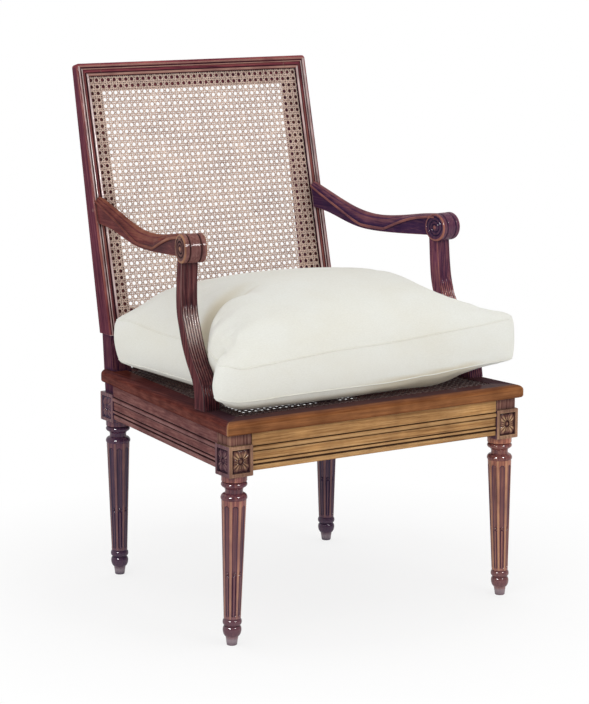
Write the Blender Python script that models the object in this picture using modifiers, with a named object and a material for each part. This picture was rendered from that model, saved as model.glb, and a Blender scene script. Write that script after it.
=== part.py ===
"""Caned fauteuil: an armchair with turned and fluted legs, a raked caned back,
scrolled arms, a caned seat in a rounded frame and a loose boxed cushion.

Metres, +Z up. The chair faces -Y, and the origin is on the floor under the
middle of the chair. Left is -X, which is the viewer's left from the front.
"""
import math

import bmesh
import bpy
from mathutils import Matrix, Vector

# Overall sizes
TOTAL_HEIGHT = 0.910
SEAT_HEIGHT = 0.375
FRONT_LEG_SPREAD = 0.535
REAR_LEG_SPREAD = 0.445
LEG_DEPTH_SPREAD = 0.475
FRONT_LEG_SPLAY = 0.006

# Fits
GAP = 0.0003
MERGE = 0.00001
SHARP_ANGLE = math.radians(35.0)

# Turned legs, from the floor up and from the die down
FOOT_HEIGHT = 0.0125
FOOT_RADIUS = 0.0085
TOUPIE_HEIGHT = 0.0205
TOUPIE_RADIUS = 0.0154
TOUPIE_FOOT_RADIUS = 0.0105
ANKLE_GROOVE = 0.0010
ANKLE_GROOVE_RADIUS = 0.0125
ANKLE_RING_HEIGHT = 0.0110
ANKLE_RING_RADIUS = 0.0156
SHAFT_BOTTOM_RADIUS = 0.0142
SHAFT_TOP_RADIUS = 0.0205
CAP_HEIGHT = 0.0100
CAP_RADIUS = 0.0218
NECK_HEIGHT = 0.0100
NECK_RADIUS = 0.0145
TORUS_HEIGHT = 0.0090
TORUS_RADIUS = 0.0214
COLLAR_HEIGHT = 0.0105
COLLAR_RADIUS = 0.0214
TURNED_EDGE = 0.25
TURNING_STEPS = 24
SPIGOT = 0.0030

# Flutes in the leg shafts
FLUTE_COUNT = 8
FLUTE_TOP_RADIUS = 0.0040
FLUTE_BOTTOM_RADIUS = 0.0029
FLUTE_MARGIN = 0.0050
FLUTE_STEPS = 8

# Carved dies and the plain blocks above them
DIE_SIZE = 0.045
DIE_HEIGHT = 0.051
BLOCK_INSET = 0.004
BLOCK_RELIEF = 0.0005
BLOCK_LAP = 0.010
BLOCK_HEIGHT = 0.018

# Moulded seat rails
RAIL_HEIGHT = 0.062
RAIL_THICKNESS = 0.024
RAIL_SETBACK = 0.004
RAIL_FASCIA = 0.022
RAIL_BEAD = 0.008
RAIL_BEAD_RISE = 0.0025
RAIL_FLAT = 0.016
RAIL_SMALL_BEAD = 0.005
RAIL_SMALL_BEAD_RISE = 0.0015
RAIL_QUIRK = 0.003
RAIL_QUIRK_DEPTH = 0.002
BEAD_POINTS = 4

# Tenons and the wooden pegs that hold them
TENON_LENGTH = 0.020
TENON_THICKNESS = 0.008
TENON_SHOULDER = 0.010
PEG_RADIUS = 0.003
PEG_SIDES = 8
PEG_STAGGER = 0.009
PEG_PAST_TENON = 0.002

# Seat frame round the caned seat
SEAT_FRAME_THICKNESS = 0.0225
SEAT_FRAME_WIDTH = 0.062
SEAT_FRAME_MARGIN = 0.038
SEAT_FRAME_OVERHANG = 0.027
SEAT_FRAME_TAIL = 0.012
NOSE_TOP_RADIUS = 0.009
NOSE_BOTTOM_RADIUS = 0.005
NOSE_POINTS = 4
MITRE_DOWEL_RADIUS = 0.004
MITRE_DOWEL_LENGTH = 0.036

# Caned panels
CANE_THICKNESS = 0.002
SEAT_CANE_ROWS = 7
SEAT_CANE_COLUMNS = 8
BACK_CANE_ROWS = 12
BACK_CANE_COLUMNS = 11
CANE_STRAND = 0.018

# Raked back
BACK_RISE = 0.063
BACK_RAKE = math.radians(13.6)
BACK_SETBACK = -0.0103
STILE_INSET = 0.0045
STILE_BOTTOM_DEPTH = 0.040
STILE_TOP_DEPTH = 0.019
BACK_BAND = 0.0235
BACK_BORDER = 0.0245
BACK_CORNER_RADIUS = 0.006
BACK_CORNER_POINTS = 4
BACK_REBATE = 0.008
BACK_TENON_THICKNESS = 0.006
POST_OUTER_INSET = 0.0075
POST_DEPTH = 0.036
POST_LAP = 0.020
POST_CHEEK = 0.003

# Arms
ARM_ROOT_INSET = 0.014
ARM_ROOT_HALF_WIDTH = 0.0120
ARM_ROOT_RISE = 0.2795
ARM_ROOT_THICKNESS = 0.047
ARM_DIP_RISE = 0.25025
ARM_DIP_THICKNESS = 0.0245
ARM_DIP_PLACE = 0.56
ARM_DIP_EASE = 1.75
ARM_UNDERSIDE_EASE = 2.0
ARM_END_RISE = 0.0035
ARM_END_THICKNESS = 0.034
ARM_ARRIS_DROP = 0.021
ARM_ARRIS_EASE = 1.2
ARM_ARRIS_LEAST = 0.003
ARM_SHOULDER_WIDTH = 0.72
ARM_SHOULDER_RISE = 0.70
ARM_CROWN_WIDTH = 0.30
ARM_STATIONS = 14
ARM_TENON_WIDTH = 0.010
ARM_TENON_HEIGHT = 0.026
ARM_TENON_LENGTH = 0.014

# Scrolls at the ends of the arms
SCROLL_LEAN = 0.013
SCROLL_RISE = 0.2555
SCROLL_SETBACK = 0.155
SCROLL_RADIUS = 0.0225
SCROLL_WIDTH = 0.0396
SCROLL_SIDES = 24

# Arm supports
SUPPORT_INSET = 0.0179
SUPPORT_BASE_SETBACK = 0.0965
SUPPORT_TOP_SETBACK = 0.161
SUPPORT_SWEEP_EASE = 0.72
SUPPORT_WIDTH = 0.029
SUPPORT_BASE_DEPTH = 0.034
SUPPORT_TOP_DEPTH = 0.022
SUPPORT_DEPTH_EASE = 1.5
SUPPORT_STATIONS = 11
SUPPORT_TENON_RADIUS = 0.008
SUPPORT_TENON_LENGTH = 0.016
SCROLL_TENON_RADIUS = 0.005
SCROLL_TENON_LENGTH = 0.014
TENON_SIDES = 12

# Loose cushion
CUSHION_CLEARANCE = 0.0015
CUSHION_FRONT_SETBACK = 0.033
CUSHION_BACK_GAP = 0.014
CUSHION_EAR_OVERHANG = 0.0048
CUSHION_SIDE_GAP = 0.004
CUSHION_EAR_GAP = 0.0055
CUSHION_SEAM_BOTTOM = 0.018
CUSHION_SEAM_TOP = 0.090
CUSHION_CROWN = 0.100
CUSHION_CROWN_SQUARENESS = 2.7
CUSHION_DRAWN_IN = 0.007
CUSHION_CORNER = 0.022
CUSHION_CORNER_LIFT = 0.016
CUSHION_CORNER_SINK = 0.016
CUSHION_CREASE = 0.55
CUSHION_COLUMNS = 10
CUSHION_BODY_ROWS = 5

# Finishes: colour and roughness
MAHOGANY = ((0.205, 0.075, 0.040), 0.30)
GOLDEN_MAHOGANY = ((0.300, 0.150, 0.060), 0.34)
DARK_MAHOGANY = ((0.130, 0.045, 0.035), 0.28)
PEG_WOOD = ((0.240, 0.120, 0.060), 0.50)
CANE = ((0.420, 0.290, 0.170), 0.45)
COTTON = ((0.800, 0.780, 0.700), 0.85)

# Places that follow from the sizes
BACK_BOTTOM = SEAT_HEIGHT + BACK_RISE
BACK_HALF_WIDTH = (REAR_LEG_SPREAD + DIE_SIZE) / 2.0 - STILE_INSET
BACK_LENGTH = (TOTAL_HEIGHT - BACK_BOTTOM) / math.cos(BACK_RAKE)
BACK_TOP_REACH = (BACK_SETBACK + BACK_LENGTH * math.sin(BACK_RAKE)
                  + STILE_TOP_DEPTH * math.cos(BACK_RAKE))
TOTAL_DEPTH = SEAT_FRAME_OVERHANG + LEG_DEPTH_SPREAD + BACK_TOP_REACH
SEAT_FRONT_Y = -TOTAL_DEPTH / 2.0
FRONT_LEG_Y = SEAT_FRONT_Y + SEAT_FRAME_OVERHANG
REAR_LEG_Y = FRONT_LEG_Y + LEG_DEPTH_SPREAD
SEAT_REAR_Y = REAR_LEG_Y + SEAT_FRAME_TAIL
SEAT_UNDERSIDE = SEAT_HEIGHT - SEAT_FRAME_THICKNESS
RAIL_TOP = SEAT_UNDERSIDE - GAP
RAIL_BOTTOM = RAIL_TOP - RAIL_HEIGHT
DIE_TOP = RAIL_TOP - BLOCK_HEIGHT
DIE_BOTTOM = DIE_TOP - DIE_HEIGHT
SIDE_SLOPE = (FRONT_LEG_SPREAD - REAR_LEG_SPREAD) / 2.0 / LEG_DEPTH_SPREAD
SIDE_STRETCH = math.hypot(1.0, SIDE_SLOPE)
BACK_FRAME = (Matrix.Translation((0.0, REAR_LEG_Y + BACK_SETBACK, BACK_BOTTOM))
              @ Matrix.Rotation(-BACK_RAKE, 4, "X"))
BACK_LEVEL = STILE_BOTTOM_DEPTH * math.tan(BACK_RAKE)
OPENING_HALF_WIDTH = BACK_HALF_WIDTH - BACK_BAND - BACK_BORDER
REBATE_DEPTH = CANE_THICKNESS + GAP


def side_x(y, inward=0.0):
    """Half-width of the seat at a depth, measured in from the outer edge."""
    outer = FRONT_LEG_SPREAD / 2.0 + SEAT_FRAME_OVERHANG * SIDE_STRETCH
    return outer - SIDE_SLOPE * (y - FRONT_LEG_Y) - inward * SIDE_STRETCH


def back_y(z):
    """Depth of the front plane of the raked back at a height."""
    return REAR_LEG_Y + BACK_SETBACK + (z - BACK_BOTTOM) * math.tan(BACK_RAKE)


def stile_depth(along):
    """Thickness of the back at a distance up its slope."""
    return STILE_BOTTOM_DEPTH + (STILE_TOP_DEPTH - STILE_BOTTOM_DEPTH) * along / BACK_LENGTH


def smooth(value):
    """Ease from 0 to 1."""
    value = min(max(value, 0.0), 1.0)
    return value * value * (3.0 - 2.0 * value)


# Scene and building blocks
for old in list(bpy.data.objects):
    bpy.data.objects.remove(old, do_unlink=True)
parts = bpy.data.collections.new("caned_fauteuil")
cutters = bpy.data.collections.new("cutters")
bpy.context.scene.collection.children.link(parts)
bpy.context.scene.collection.children.link(cutters)


def shade(mesh):
    """Shade the round faces smooth and keep the edges."""
    mesh.shade_smooth()
    mesh.set_sharp_from_angle(angle=SHARP_ANGLE)


def add_part(name, mesh, finish, place=Matrix.Identity(4)):
    """Put a mesh in the chair as a named part with its own finish and its origin at a place."""
    colour, roughness = finish
    mesh.transform(place.inverted())
    shade(mesh)
    part = bpy.data.objects.new(name, mesh)
    part.matrix_world = place
    parts.objects.link(part)
    material = bpy.data.materials.new(name + "_finish")
    material.use_nodes = True
    shader = material.node_tree.nodes["Principled BSDF"]
    shader.inputs["Base Color"].default_value = (*colour, 1.0)
    shader.inputs["Roughness"].default_value = roughness
    shader.inputs["Metallic"].default_value = 0.0
    mesh.materials.clear()
    mesh.materials.append(material)
    return part


def combine(part, mesh, operation):
    """Cut a mesh from a part, or join it on, with a Boolean."""
    shade(mesh)
    operand = bpy.data.objects.new(part.name + "_" + operation.lower(), mesh)
    cutters.objects.link(operand)
    operand.hide_render = True
    operand.display_type = "WIRE"
    step = part.modifiers.new(operation.lower(), "BOOLEAN")
    step.operation = operation
    step.object = operand


def cut(part, mesh):
    combine(part, mesh, "DIFFERENCE")


def join(part, mesh):
    combine(part, mesh, "UNION")


def to_mesh(name, shape):
    """Turn a finished bmesh into a mesh with its faces pointing out."""
    bmesh.ops.recalc_face_normals(shape, faces=shape.faces)
    mesh = bpy.data.meshes.new(name)
    shape.to_mesh(mesh)
    shape.free()
    return mesh


def box(name, low, high, frame=Matrix.Identity(4)):
    """Box between two corners, in the chair's frame or a tilted one."""
    low = Vector(low)
    high = Vector(high)
    size = high - low
    shape = bmesh.new()
    place = Matrix.Translation((low + high) / 2.0) @ Matrix.Diagonal((*size, 1.0))
    bmesh.ops.create_cube(shape, size=1.0, matrix=frame @ place)
    return to_mesh(name, shape)


def rod(name, start, end, radius, sides):
    """Round rod between two points."""
    start = Vector(start)
    end = Vector(end)
    turn = (end - start).to_track_quat("Z", "Y").to_matrix().to_4x4()
    shape = bmesh.new()
    bmesh.ops.create_cone(shape, cap_ends=True, segments=sides, radius1=radius, radius2=radius,
                          depth=(end - start).length,
                          matrix=Matrix.Translation((start + end) / 2.0) @ turn)
    return to_mesh(name, shape)


def extruded(name, outline, travel):
    """Straight solid: a flat outline carried along a distance."""
    shape = bmesh.new()
    face = shape.faces.new([shape.verts.new(point) for point in outline])
    carried = bmesh.ops.extrude_face_region(shape, geom=[face])["geom"]
    ends = [item for item in carried if isinstance(item, bmesh.types.BMVert)]
    bmesh.ops.translate(shape, verts=ends, vec=travel)
    return to_mesh(name, shape)


def loft(name, sections):
    """Closed solid through outlines that have the same number of points."""
    shape = bmesh.new()
    rings = [[shape.verts.new(point) for point in section] for section in sections]
    count = len(rings[0])
    for ring, following in zip(rings, rings[1:]):
        for index in range(count):
            after = (index + 1) % count
            shape.faces.new((ring[index], ring[after], following[after], following[index]))
    shape.faces.new(rings[0])
    shape.faces.new(rings[-1])
    return to_mesh(name, shape)


def turned(name, profile, steps):
    """Solid turned on a lathe from an outline of radius and height, top to bottom."""
    mesh = bpy.data.meshes.new(name)
    edges = [(index, index + 1) for index in range(len(profile) - 1)]
    mesh.from_pydata([(radius, 0.0, height) for radius, height in profile], edges, [])
    blank = bpy.data.objects.new(name, mesh)
    cutters.objects.link(blank)
    screw = blank.modifiers.new("turning", "SCREW")
    screw.steps = steps
    screw.render_steps = steps
    screw.use_merge_vertices = True
    screw.merge_threshold = MERGE
    result = bpy.data.meshes.new_from_object(
        blank.evaluated_get(bpy.context.evaluated_depsgraph_get()))
    bpy.data.objects.remove(blank, do_unlink=True)
    return result


def arc(centre, radii, start, end, points):
    """Points on an arc of a section from its radii across and up, angles in degrees."""
    step = (end - start) / (points - 1)
    angles = [math.radians(start + step * index) for index in range(points)]
    return [(centre[0] + radii[0] * math.cos(angle), centre[1] + radii[1] * math.sin(angle))
            for angle in angles]


def peg(name, inner, mouth, holders):
    """Wooden peg whose head is flush at its mouth, and its hole in each holder."""
    inner = Vector(inner)
    mouth = Vector(mouth)
    along = (mouth - inner).normalized()
    for holder in holders:
        hole = rod(name + "_hole", inner - along * GAP, mouth + along * TENON_LENGTH,
                   PEG_RADIUS + GAP, PEG_SIDES)
        cut(holder, hole)
    return add_part(name, rod(name, inner, mouth - along * GAP, PEG_RADIUS, PEG_SIDES), PEG_WOOD)


# Legs
SHAFT_BOTTOM = FOOT_HEIGHT + TOUPIE_HEIGHT + ANKLE_GROOVE + ANKLE_RING_HEIGHT
SHAFT_TOP = DIE_BOTTOM - COLLAR_HEIGHT - TORUS_HEIGHT - NECK_HEIGHT - CAP_HEIGHT


def leg_profile():
    """Outline of a turned leg, from the spigot in the die down to the floor."""
    collar = DIE_BOTTOM - COLLAR_HEIGHT
    neck = collar - TORUS_HEIGHT
    cap = SHAFT_TOP + CAP_HEIGHT
    ring = SHAFT_BOTTOM - ANKLE_RING_HEIGHT
    toupie = FOOT_HEIGHT + TOUPIE_HEIGHT
    torus = arc((NECK_RADIUS, (collar + neck) / 2.0),
                (TORUS_RADIUS - NECK_RADIUS, TORUS_HEIGHT / 2.0), 60.0, -60.0, BEAD_POINTS)
    return [
        (0.0, DIE_BOTTOM + SPIGOT),
        (COLLAR_RADIUS, DIE_BOTTOM + SPIGOT),
        (COLLAR_RADIUS, collar),
        *torus,
        (NECK_RADIUS, neck),
        (NECK_RADIUS, cap + NECK_HEIGHT * TURNED_EDGE),
        (CAP_RADIUS, cap - CAP_HEIGHT * TURNED_EDGE),
        (CAP_RADIUS, SHAFT_TOP + CAP_HEIGHT * TURNED_EDGE),
        (SHAFT_TOP_RADIUS, SHAFT_TOP),
        (SHAFT_BOTTOM_RADIUS, SHAFT_BOTTOM),
        (ANKLE_RING_RADIUS, SHAFT_BOTTOM - ANKLE_GROOVE),
        (ANKLE_RING_RADIUS, ring + ANKLE_GROOVE),
        (ANKLE_GROOVE_RADIUS, ring),
        (ANKLE_GROOVE_RADIUS, toupie),
        (TOUPIE_RADIUS, toupie - TOUPIE_HEIGHT * TURNED_EDGE),
        (TOUPIE_FOOT_RADIUS, FOOT_HEIGHT),
        (FOOT_RADIUS, 0.0),
        (0.0, 0.0),
    ]


def flute_cutter(stance):
    """Ring of round-topped rods that lie along the tapered shaft of a leg."""
    top = SHAFT_TOP - FLUTE_MARGIN - FLUTE_TOP_RADIUS
    bottom = SHAFT_BOTTOM + FLUTE_MARGIN
    length = top - bottom
    dome = arc((0.0, length), (FLUTE_TOP_RADIUS, FLUTE_TOP_RADIUS), 45.0, 0.0, 2)
    profile = [(0.0, length + FLUTE_TOP_RADIUS), *dome, (FLUTE_BOTTOM_RADIUS, 0.0), (0.0, 0.0)]
    blank = turned("flute", profile, FLUTE_STEPS)
    lean = math.atan2(SHAFT_TOP_RADIUS - SHAFT_BOTTOM_RADIUS, SHAFT_TOP - SHAFT_BOTTOM)
    foot = SHAFT_BOTTOM_RADIUS + FLUTE_MARGIN * math.tan(lean)
    stand = Matrix.Translation((foot, 0.0, bottom)) @ Matrix.Rotation(lean, 4, "Y")
    shape = bmesh.new()
    for index in range(FLUTE_COUNT):
        turn = Matrix.Rotation(2.0 * math.pi * (index + 0.5) / FLUTE_COUNT, 4, "Z")
        copy = blank.copy()
        copy.transform(stance @ turn @ stand)
        shape.from_mesh(copy)
        bpy.data.meshes.remove(copy)
    return to_mesh("flutes", shape)


def leg(name, side, centre_x, centre_y, splay):
    """Turned and fluted leg that leans out to its foot, with its square carved die."""
    centre = Vector((side * centre_x, centre_y, 0.0))
    stance = Matrix.Translation(centre + Vector((side * splay, 0.0, 0.0)))
    stance[0][2] = -side * splay / DIE_BOTTOM
    mesh = turned(name, leg_profile(), TURNING_STEPS)
    mesh.transform(stance)
    part = add_part(name, mesh, MAHOGANY, Matrix.Translation(centre))
    cut(part, flute_cutter(stance))
    half = Vector((DIE_SIZE / 2.0, DIE_SIZE / 2.0, 0.0))
    join(part, box("die", centre - half + Vector((0.0, 0.0, DIE_BOTTOM)),
                   centre + half + Vector((0.0, 0.0, DIE_TOP))))
    return part


def front_leg(name, side):
    """Front leg, with a plain block between the die and the seat frame."""
    centre = FRONT_LEG_SPREAD / 2.0
    part = leg(name, side, centre, FRONT_LEG_Y, FRONT_LEG_SPLAY)
    inner = side * (centre - DIE_SIZE / 2.0 + BLOCK_RELIEF)
    outer = side * (centre + DIE_SIZE / 2.0 - BLOCK_INSET)
    front = FRONT_LEG_Y - DIE_SIZE / 2.0 + BLOCK_INSET
    rear = FRONT_LEG_Y + DIE_SIZE / 2.0 - BLOCK_RELIEF
    join(part, box("block", (min(inner, outer), front, DIE_TOP - BLOCK_LAP),
                   (max(inner, outer), rear, RAIL_TOP)))
    return part


def post_section(side, z, front, rear):
    inner = side * (REAR_LEG_SPREAD / 2.0 - DIE_SIZE / 2.0 + BLOCK_RELIEF)
    outer = side * (REAR_LEG_SPREAD / 2.0 + DIE_SIZE / 2.0 - POST_OUTER_INSET)
    return [(inner, front, z), (outer, front, z), (outer, rear, z), (inner, rear, z)]


def post_front(z):
    """Depth of the front of a rear post, from the die up into its stile."""
    top = BACK_BOTTOM + POST_LAP
    start = REAR_LEG_Y - POST_DEPTH / 2.0
    return start + (back_y(top) + POST_CHEEK - start) * (z - DIE_TOP) / (top - DIE_TOP)


def stile_sections(side):
    """Outlines of a back stile, level at its bottom and rounded at its top outer corner."""
    inner = side * OPENING_HALF_WIDTH
    outer = side * BACK_HALF_WIDTH
    depth = stile_depth(0.0)
    level = BACK_LEVEL
    outlines = [[(inner, 0.0, 0.0), (outer, 0.0, 0.0), (outer, depth, level), (inner, depth, level)]]
    corner = (BACK_HALF_WIDTH - BACK_CORNER_RADIUS, BACK_LENGTH - BACK_CORNER_RADIUS)
    radii = (BACK_CORNER_RADIUS, BACK_CORNER_RADIUS)
    for across, along in arc(corner, radii, 0.0, 90.0, BACK_CORNER_POINTS):
        depth = stile_depth(along)
        edge = side * across
        plan = [(inner, 0.0), (edge, 0.0), (edge, depth), (inner, depth)]
        outlines.append([(x, y, along) for x, y in plan])
    return [[BACK_FRAME @ Vector(point) for point in outline] for outline in outlines]


def rear_leg(name, side):
    """Rear leg, post and back stile in one timber."""
    part = leg(name, side, REAR_LEG_SPREAD / 2.0, REAR_LEG_Y, 0.0)
    front = REAR_LEG_Y - POST_DEPTH / 2.0
    rear = REAR_LEG_Y + POST_DEPTH / 2.0
    high = BACK_BOTTOM + POST_LAP
    rear_high = back_y(high) + stile_depth(POST_LAP) - 2.0 * POST_CHEEK
    join(part, loft("post", [
        post_section(side, DIE_TOP - BLOCK_LAP, front, rear),
        post_section(side, DIE_TOP, front, rear),
        post_section(side, high, post_front(high), rear_high)]))
    join(part, loft("stile", stile_sections(side)))
    band = side * (BACK_HALF_WIDTH - BACK_BAND)
    past = side * (OPENING_HALF_WIDTH - BACK_BORDER)
    cut(part, box("rebate", (min(past, band), -BACK_REBATE, BACK_BAND),
                  (max(past, band), BACK_REBATE, BACK_LENGTH - BACK_BAND), BACK_FRAME))
    return part


legs = {
    ("front", -1): front_leg("front_left_leg", -1),
    ("front", 1): front_leg("front_right_leg", 1),
    ("rear", -1): rear_leg("rear_left_leg", -1),
    ("rear", 1): rear_leg("rear_right_leg", 1),
}


# Seat rails
def rail_section():
    """Outline of a moulded rail: distance in from its face, and height."""
    fascia = RAIL_TOP - RAIL_FASCIA
    bead = fascia - RAIL_BEAD
    flat = bead - RAIL_FLAT
    small = flat - RAIL_SMALL_BEAD
    quirk = small - RAIL_QUIRK
    large_bead = arc((0.0, (fascia + bead) / 2.0), (-RAIL_BEAD_RISE, RAIL_BEAD / 2.0),
                     90.0, -90.0, BEAD_POINTS + 1)
    small_bead = arc((0.0, (flat + small) / 2.0), (-RAIL_SMALL_BEAD_RISE, RAIL_SMALL_BEAD / 2.0),
                     90.0, -90.0, BEAD_POINTS)
    return [
        (0.0, RAIL_TOP),
        *large_bead,
        *small_bead,
        (RAIL_QUIRK_DEPTH, small),
        (RAIL_QUIRK_DEPTH, quirk),
        (0.0, quirk),
        (0.0, RAIL_BOTTOM),
        (RAIL_THICKNESS, RAIL_BOTTOM),
        (RAIL_THICKNESS, RAIL_TOP),
    ]


TENON_LOW = RAIL_BOTTOM + TENON_SHOULDER
TENON_HIGH = RAIL_TOP - TENON_SHOULDER
TENON_MIDDLE = (TENON_LOW + TENON_HIGH) / 2.0
RAIL_FACE = DIE_SIZE / 2.0 - RAIL_SETBACK
TENON_CENTRE = RAIL_FACE - RAIL_THICKNESS / 2.0


def grown(low, high):
    """Corners of a mortise: its tenon and a clearance all round."""
    return ([a - GAP for a in low], [b + GAP for b in high])


def cross_rail(name, row, centre_y, leg_x, facing):
    """Rail across the chair, between the two front legs or the two rear legs."""
    face = centre_y + facing * RAIL_FACE
    end = leg_x - DIE_SIZE / 2.0 - GAP
    outline = [(-end, face - facing * inward, z) for inward, z in rail_section()]
    part = add_part(name, extruded(name, outline, (2.0 * end, 0.0, 0.0)), GOLDEN_MAHOGANY)
    tenon_y = centre_y + facing * TENON_CENTRE
    for side, word in ((-1, "left"), (1, "right")):
        ends = sorted((side * (end - TENON_LENGTH), side * (end + TENON_LENGTH)))
        low = (ends[0], tenon_y - TENON_THICKNESS / 2.0, TENON_LOW)
        high = (ends[1], tenon_y + TENON_THICKNESS / 2.0, TENON_HIGH)
        join(part, box("tenon", low, high))
        cut(legs[row, side], box("mortise", *grown(low, high)))
        x = side * (end + TENON_LENGTH / 2.0)
        z = TENON_MIDDLE + PEG_STAGGER
        deep = tenon_y + facing * (TENON_THICKNESS / 2.0 + PEG_PAST_TENON)
        back = DIE_SIZE if z < DIE_TOP else POST_DEPTH
        mouth = centre_y - facing * back / 2.0
        peg(name + "_" + word + "_peg", (x, deep, z), (x, mouth, z), (part, legs[row, side]))
    return part


def side_rail(name, side):
    """Rail along one side of the chair, drawn in towards the back."""
    front = FRONT_LEG_Y + DIE_SIZE / 2.0 + GAP
    rear = REAR_LEG_Y - DIE_SIZE / 2.0 - GAP
    word = "left" if side < 0 else "right"

    def face(y):
        return FRONT_LEG_SPREAD / 2.0 - SIDE_SLOPE * (y - FRONT_LEG_Y) + RAIL_FACE

    part = add_part(name, loft(name, [
        [(side * (face(y) - inward), y, z) for inward, z in rail_section()] for y in (front, rear)]),
        MAHOGANY)
    for row, end, away, leg_x in (("front", front, -1, FRONT_LEG_SPREAD / 2.0),
                                  ("rear", rear, 1, REAR_LEG_SPREAD / 2.0)):
        middle = side * (leg_x + TENON_CENTRE)
        ends = sorted((end - away * TENON_LENGTH, end + away * TENON_LENGTH))
        low = (middle - TENON_THICKNESS / 2.0, ends[0], TENON_LOW)
        high = (middle + TENON_THICKNESS / 2.0, ends[1], TENON_HIGH)
        join(part, box("tenon", low, high))
        cut(legs[row, side], box("mortise", *grown(low, high)))
        y = end + away * TENON_LENGTH / 2.0
        z = TENON_MIDDLE - PEG_STAGGER
        deep = middle + side * (TENON_THICKNESS / 2.0 + PEG_PAST_TENON)
        mouth = side * (leg_x - DIE_SIZE / 2.0)
        peg(word + "_rail_" + row + "_peg", (deep, y, z), (mouth, y, z), (part, legs[row, side]))
    return part


cross_rail("front_rail", "front", FRONT_LEG_Y, FRONT_LEG_SPREAD / 2.0, -1)
cross_rail("rear_rail", "rear", REAR_LEG_Y, REAR_LEG_SPREAD / 2.0, 1)
side_rail("left_side_rail", -1)
side_rail("right_side_rail", 1)


# Seat frame
def frame_section():
    """Outline of a seat frame member: distance in from its rounded nose, and height."""
    top_centre = (NOSE_TOP_RADIUS, SEAT_HEIGHT - NOSE_TOP_RADIUS)
    low_centre = (NOSE_BOTTOM_RADIUS, SEAT_UNDERSIDE + NOSE_BOTTOM_RADIUS)
    return [
        (SEAT_FRAME_WIDTH, SEAT_UNDERSIDE),
        (SEAT_FRAME_WIDTH, SEAT_HEIGHT - REBATE_DEPTH),
        (SEAT_FRAME_MARGIN, SEAT_HEIGHT - REBATE_DEPTH),
        (SEAT_FRAME_MARGIN, SEAT_HEIGHT),
        *arc(top_centre, (NOSE_TOP_RADIUS, NOSE_TOP_RADIUS), 90.0, 180.0, NOSE_POINTS),
        *arc(low_centre, (NOSE_BOTTOM_RADIUS, NOSE_BOTTOM_RADIUS), 180.0, 270.0, NOSE_POINTS),
    ]


def mitre_corner(inward):
    """Plan point of the front right mitre at a distance in from the nose."""
    y = SEAT_FRONT_Y + inward
    return Vector((side_x(y, inward), y))


def front_member():
    ends = []
    for side in (-1, 1):
        section = []
        for inward, z in frame_section():
            corner = mitre_corner(inward)
            section.append((side * (corner.x - GAP), corner.y, z))
        ends.append(section)
    return add_part("seat_frame_front", loft("seat_frame_front", ends), GOLDEN_MAHOGANY)


def side_member(name, side):
    front = []
    rear = []
    for inward, z in frame_section():
        corner = mitre_corner(inward)
        y = corner.y + GAP
        front.append((side * side_x(y, inward), y, z))
        rear.append((side * side_x(SEAT_REAR_Y, inward), SEAT_REAR_Y, z))
    part = add_part(name, loft(name, [front, rear]), MAHOGANY)
    inner = side * (REAR_LEG_SPREAD / 2.0 - DIE_SIZE / 2.0 + BLOCK_RELIEF - GAP)
    outer = side * (REAR_LEG_SPREAD / 2.0 + DIE_SIZE / 2.0 - POST_OUTER_INSET + GAP)
    cut(part, box("post_notch", (min(inner, outer), REAR_LEG_Y - POST_DEPTH / 2.0 - GAP, DIE_TOP),
                  (max(inner, outer), SEAT_REAR_Y + SEAT_FRAME_WIDTH, BACK_BOTTOM)))
    return part


def rear_member(sides):
    """Rear member, tenoned between the side members in front of the posts."""
    ends = []
    for side in (-1, 1):
        section = []
        for inward, z in frame_section():
            y = SEAT_REAR_Y - inward
            section.append((side * (side_x(y, SEAT_FRAME_WIDTH) - GAP), y, z))
        ends.append(section)
    part = add_part("seat_frame_rear", loft("seat_frame_rear", ends), MAHOGANY)
    rear = REAR_LEG_Y - POST_DEPTH / 2.0 - TENON_SHOULDER
    front = rear - TENON_LENGTH
    middle = (SEAT_UNDERSIDE + SEAT_HEIGHT - REBATE_DEPTH) / 2.0
    for side, member in zip((-1, 1), sides):
        shoulder = side_x(rear, SEAT_FRAME_WIDTH)
        ends = sorted((side * (shoulder - TENON_LENGTH), side * (shoulder + TENON_LENGTH)))
        low = (ends[0], front, middle - TENON_THICKNESS / 2.0)
        high = (ends[1], rear, middle + TENON_THICKNESS / 2.0)
        join(part, box("tenon", low, high))
        cut(member, box("mortise", *grown(low, high)))
        word = "left" if side < 0 else "right"
        x = side * (shoulder + TENON_LENGTH / 2.0)
        y = (front + rear) / 2.0
        deep = middle + TENON_THICKNESS / 2.0 + PEG_PAST_TENON
        peg("seat_frame_rear_" + word + "_peg", (x, y, deep), (x, y, SEAT_UNDERSIDE), (part, member))
    return part


def mitre_dowel(name, side, holders):
    """Dowel across a front mitre of the seat frame."""
    outer = mitre_corner(0.0)
    inner = mitre_corner(SEAT_FRAME_WIDTH)
    middle = (outer + inner) / 2.0
    across = (inner - outer).normalized().orthogonal() * MITRE_DOWEL_LENGTH / 2.0
    z = (SEAT_UNDERSIDE + SEAT_HEIGHT) / 2.0
    start = Vector((side * (middle.x - across.x), middle.y - across.y, z))
    end = Vector((side * (middle.x + across.x), middle.y + across.y, z))
    spare = (end - start).normalized() * GAP
    for holder in holders:
        cut(holder, rod("dowel_hole", start - spare, end + spare, MITRE_DOWEL_RADIUS + GAP, PEG_SIDES))
    return add_part(name, rod(name, start, end, MITRE_DOWEL_RADIUS, PEG_SIDES), PEG_WOOD)


seat_front = front_member()
seat_left = side_member("seat_frame_left", -1)
seat_right = side_member("seat_frame_right", 1)
rear_member((seat_left, seat_right))
mitre_dowel("seat_frame_left_dowel", -1, (seat_front, seat_left))
mitre_dowel("seat_frame_right_dowel", 1, (seat_front, seat_right))


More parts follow.
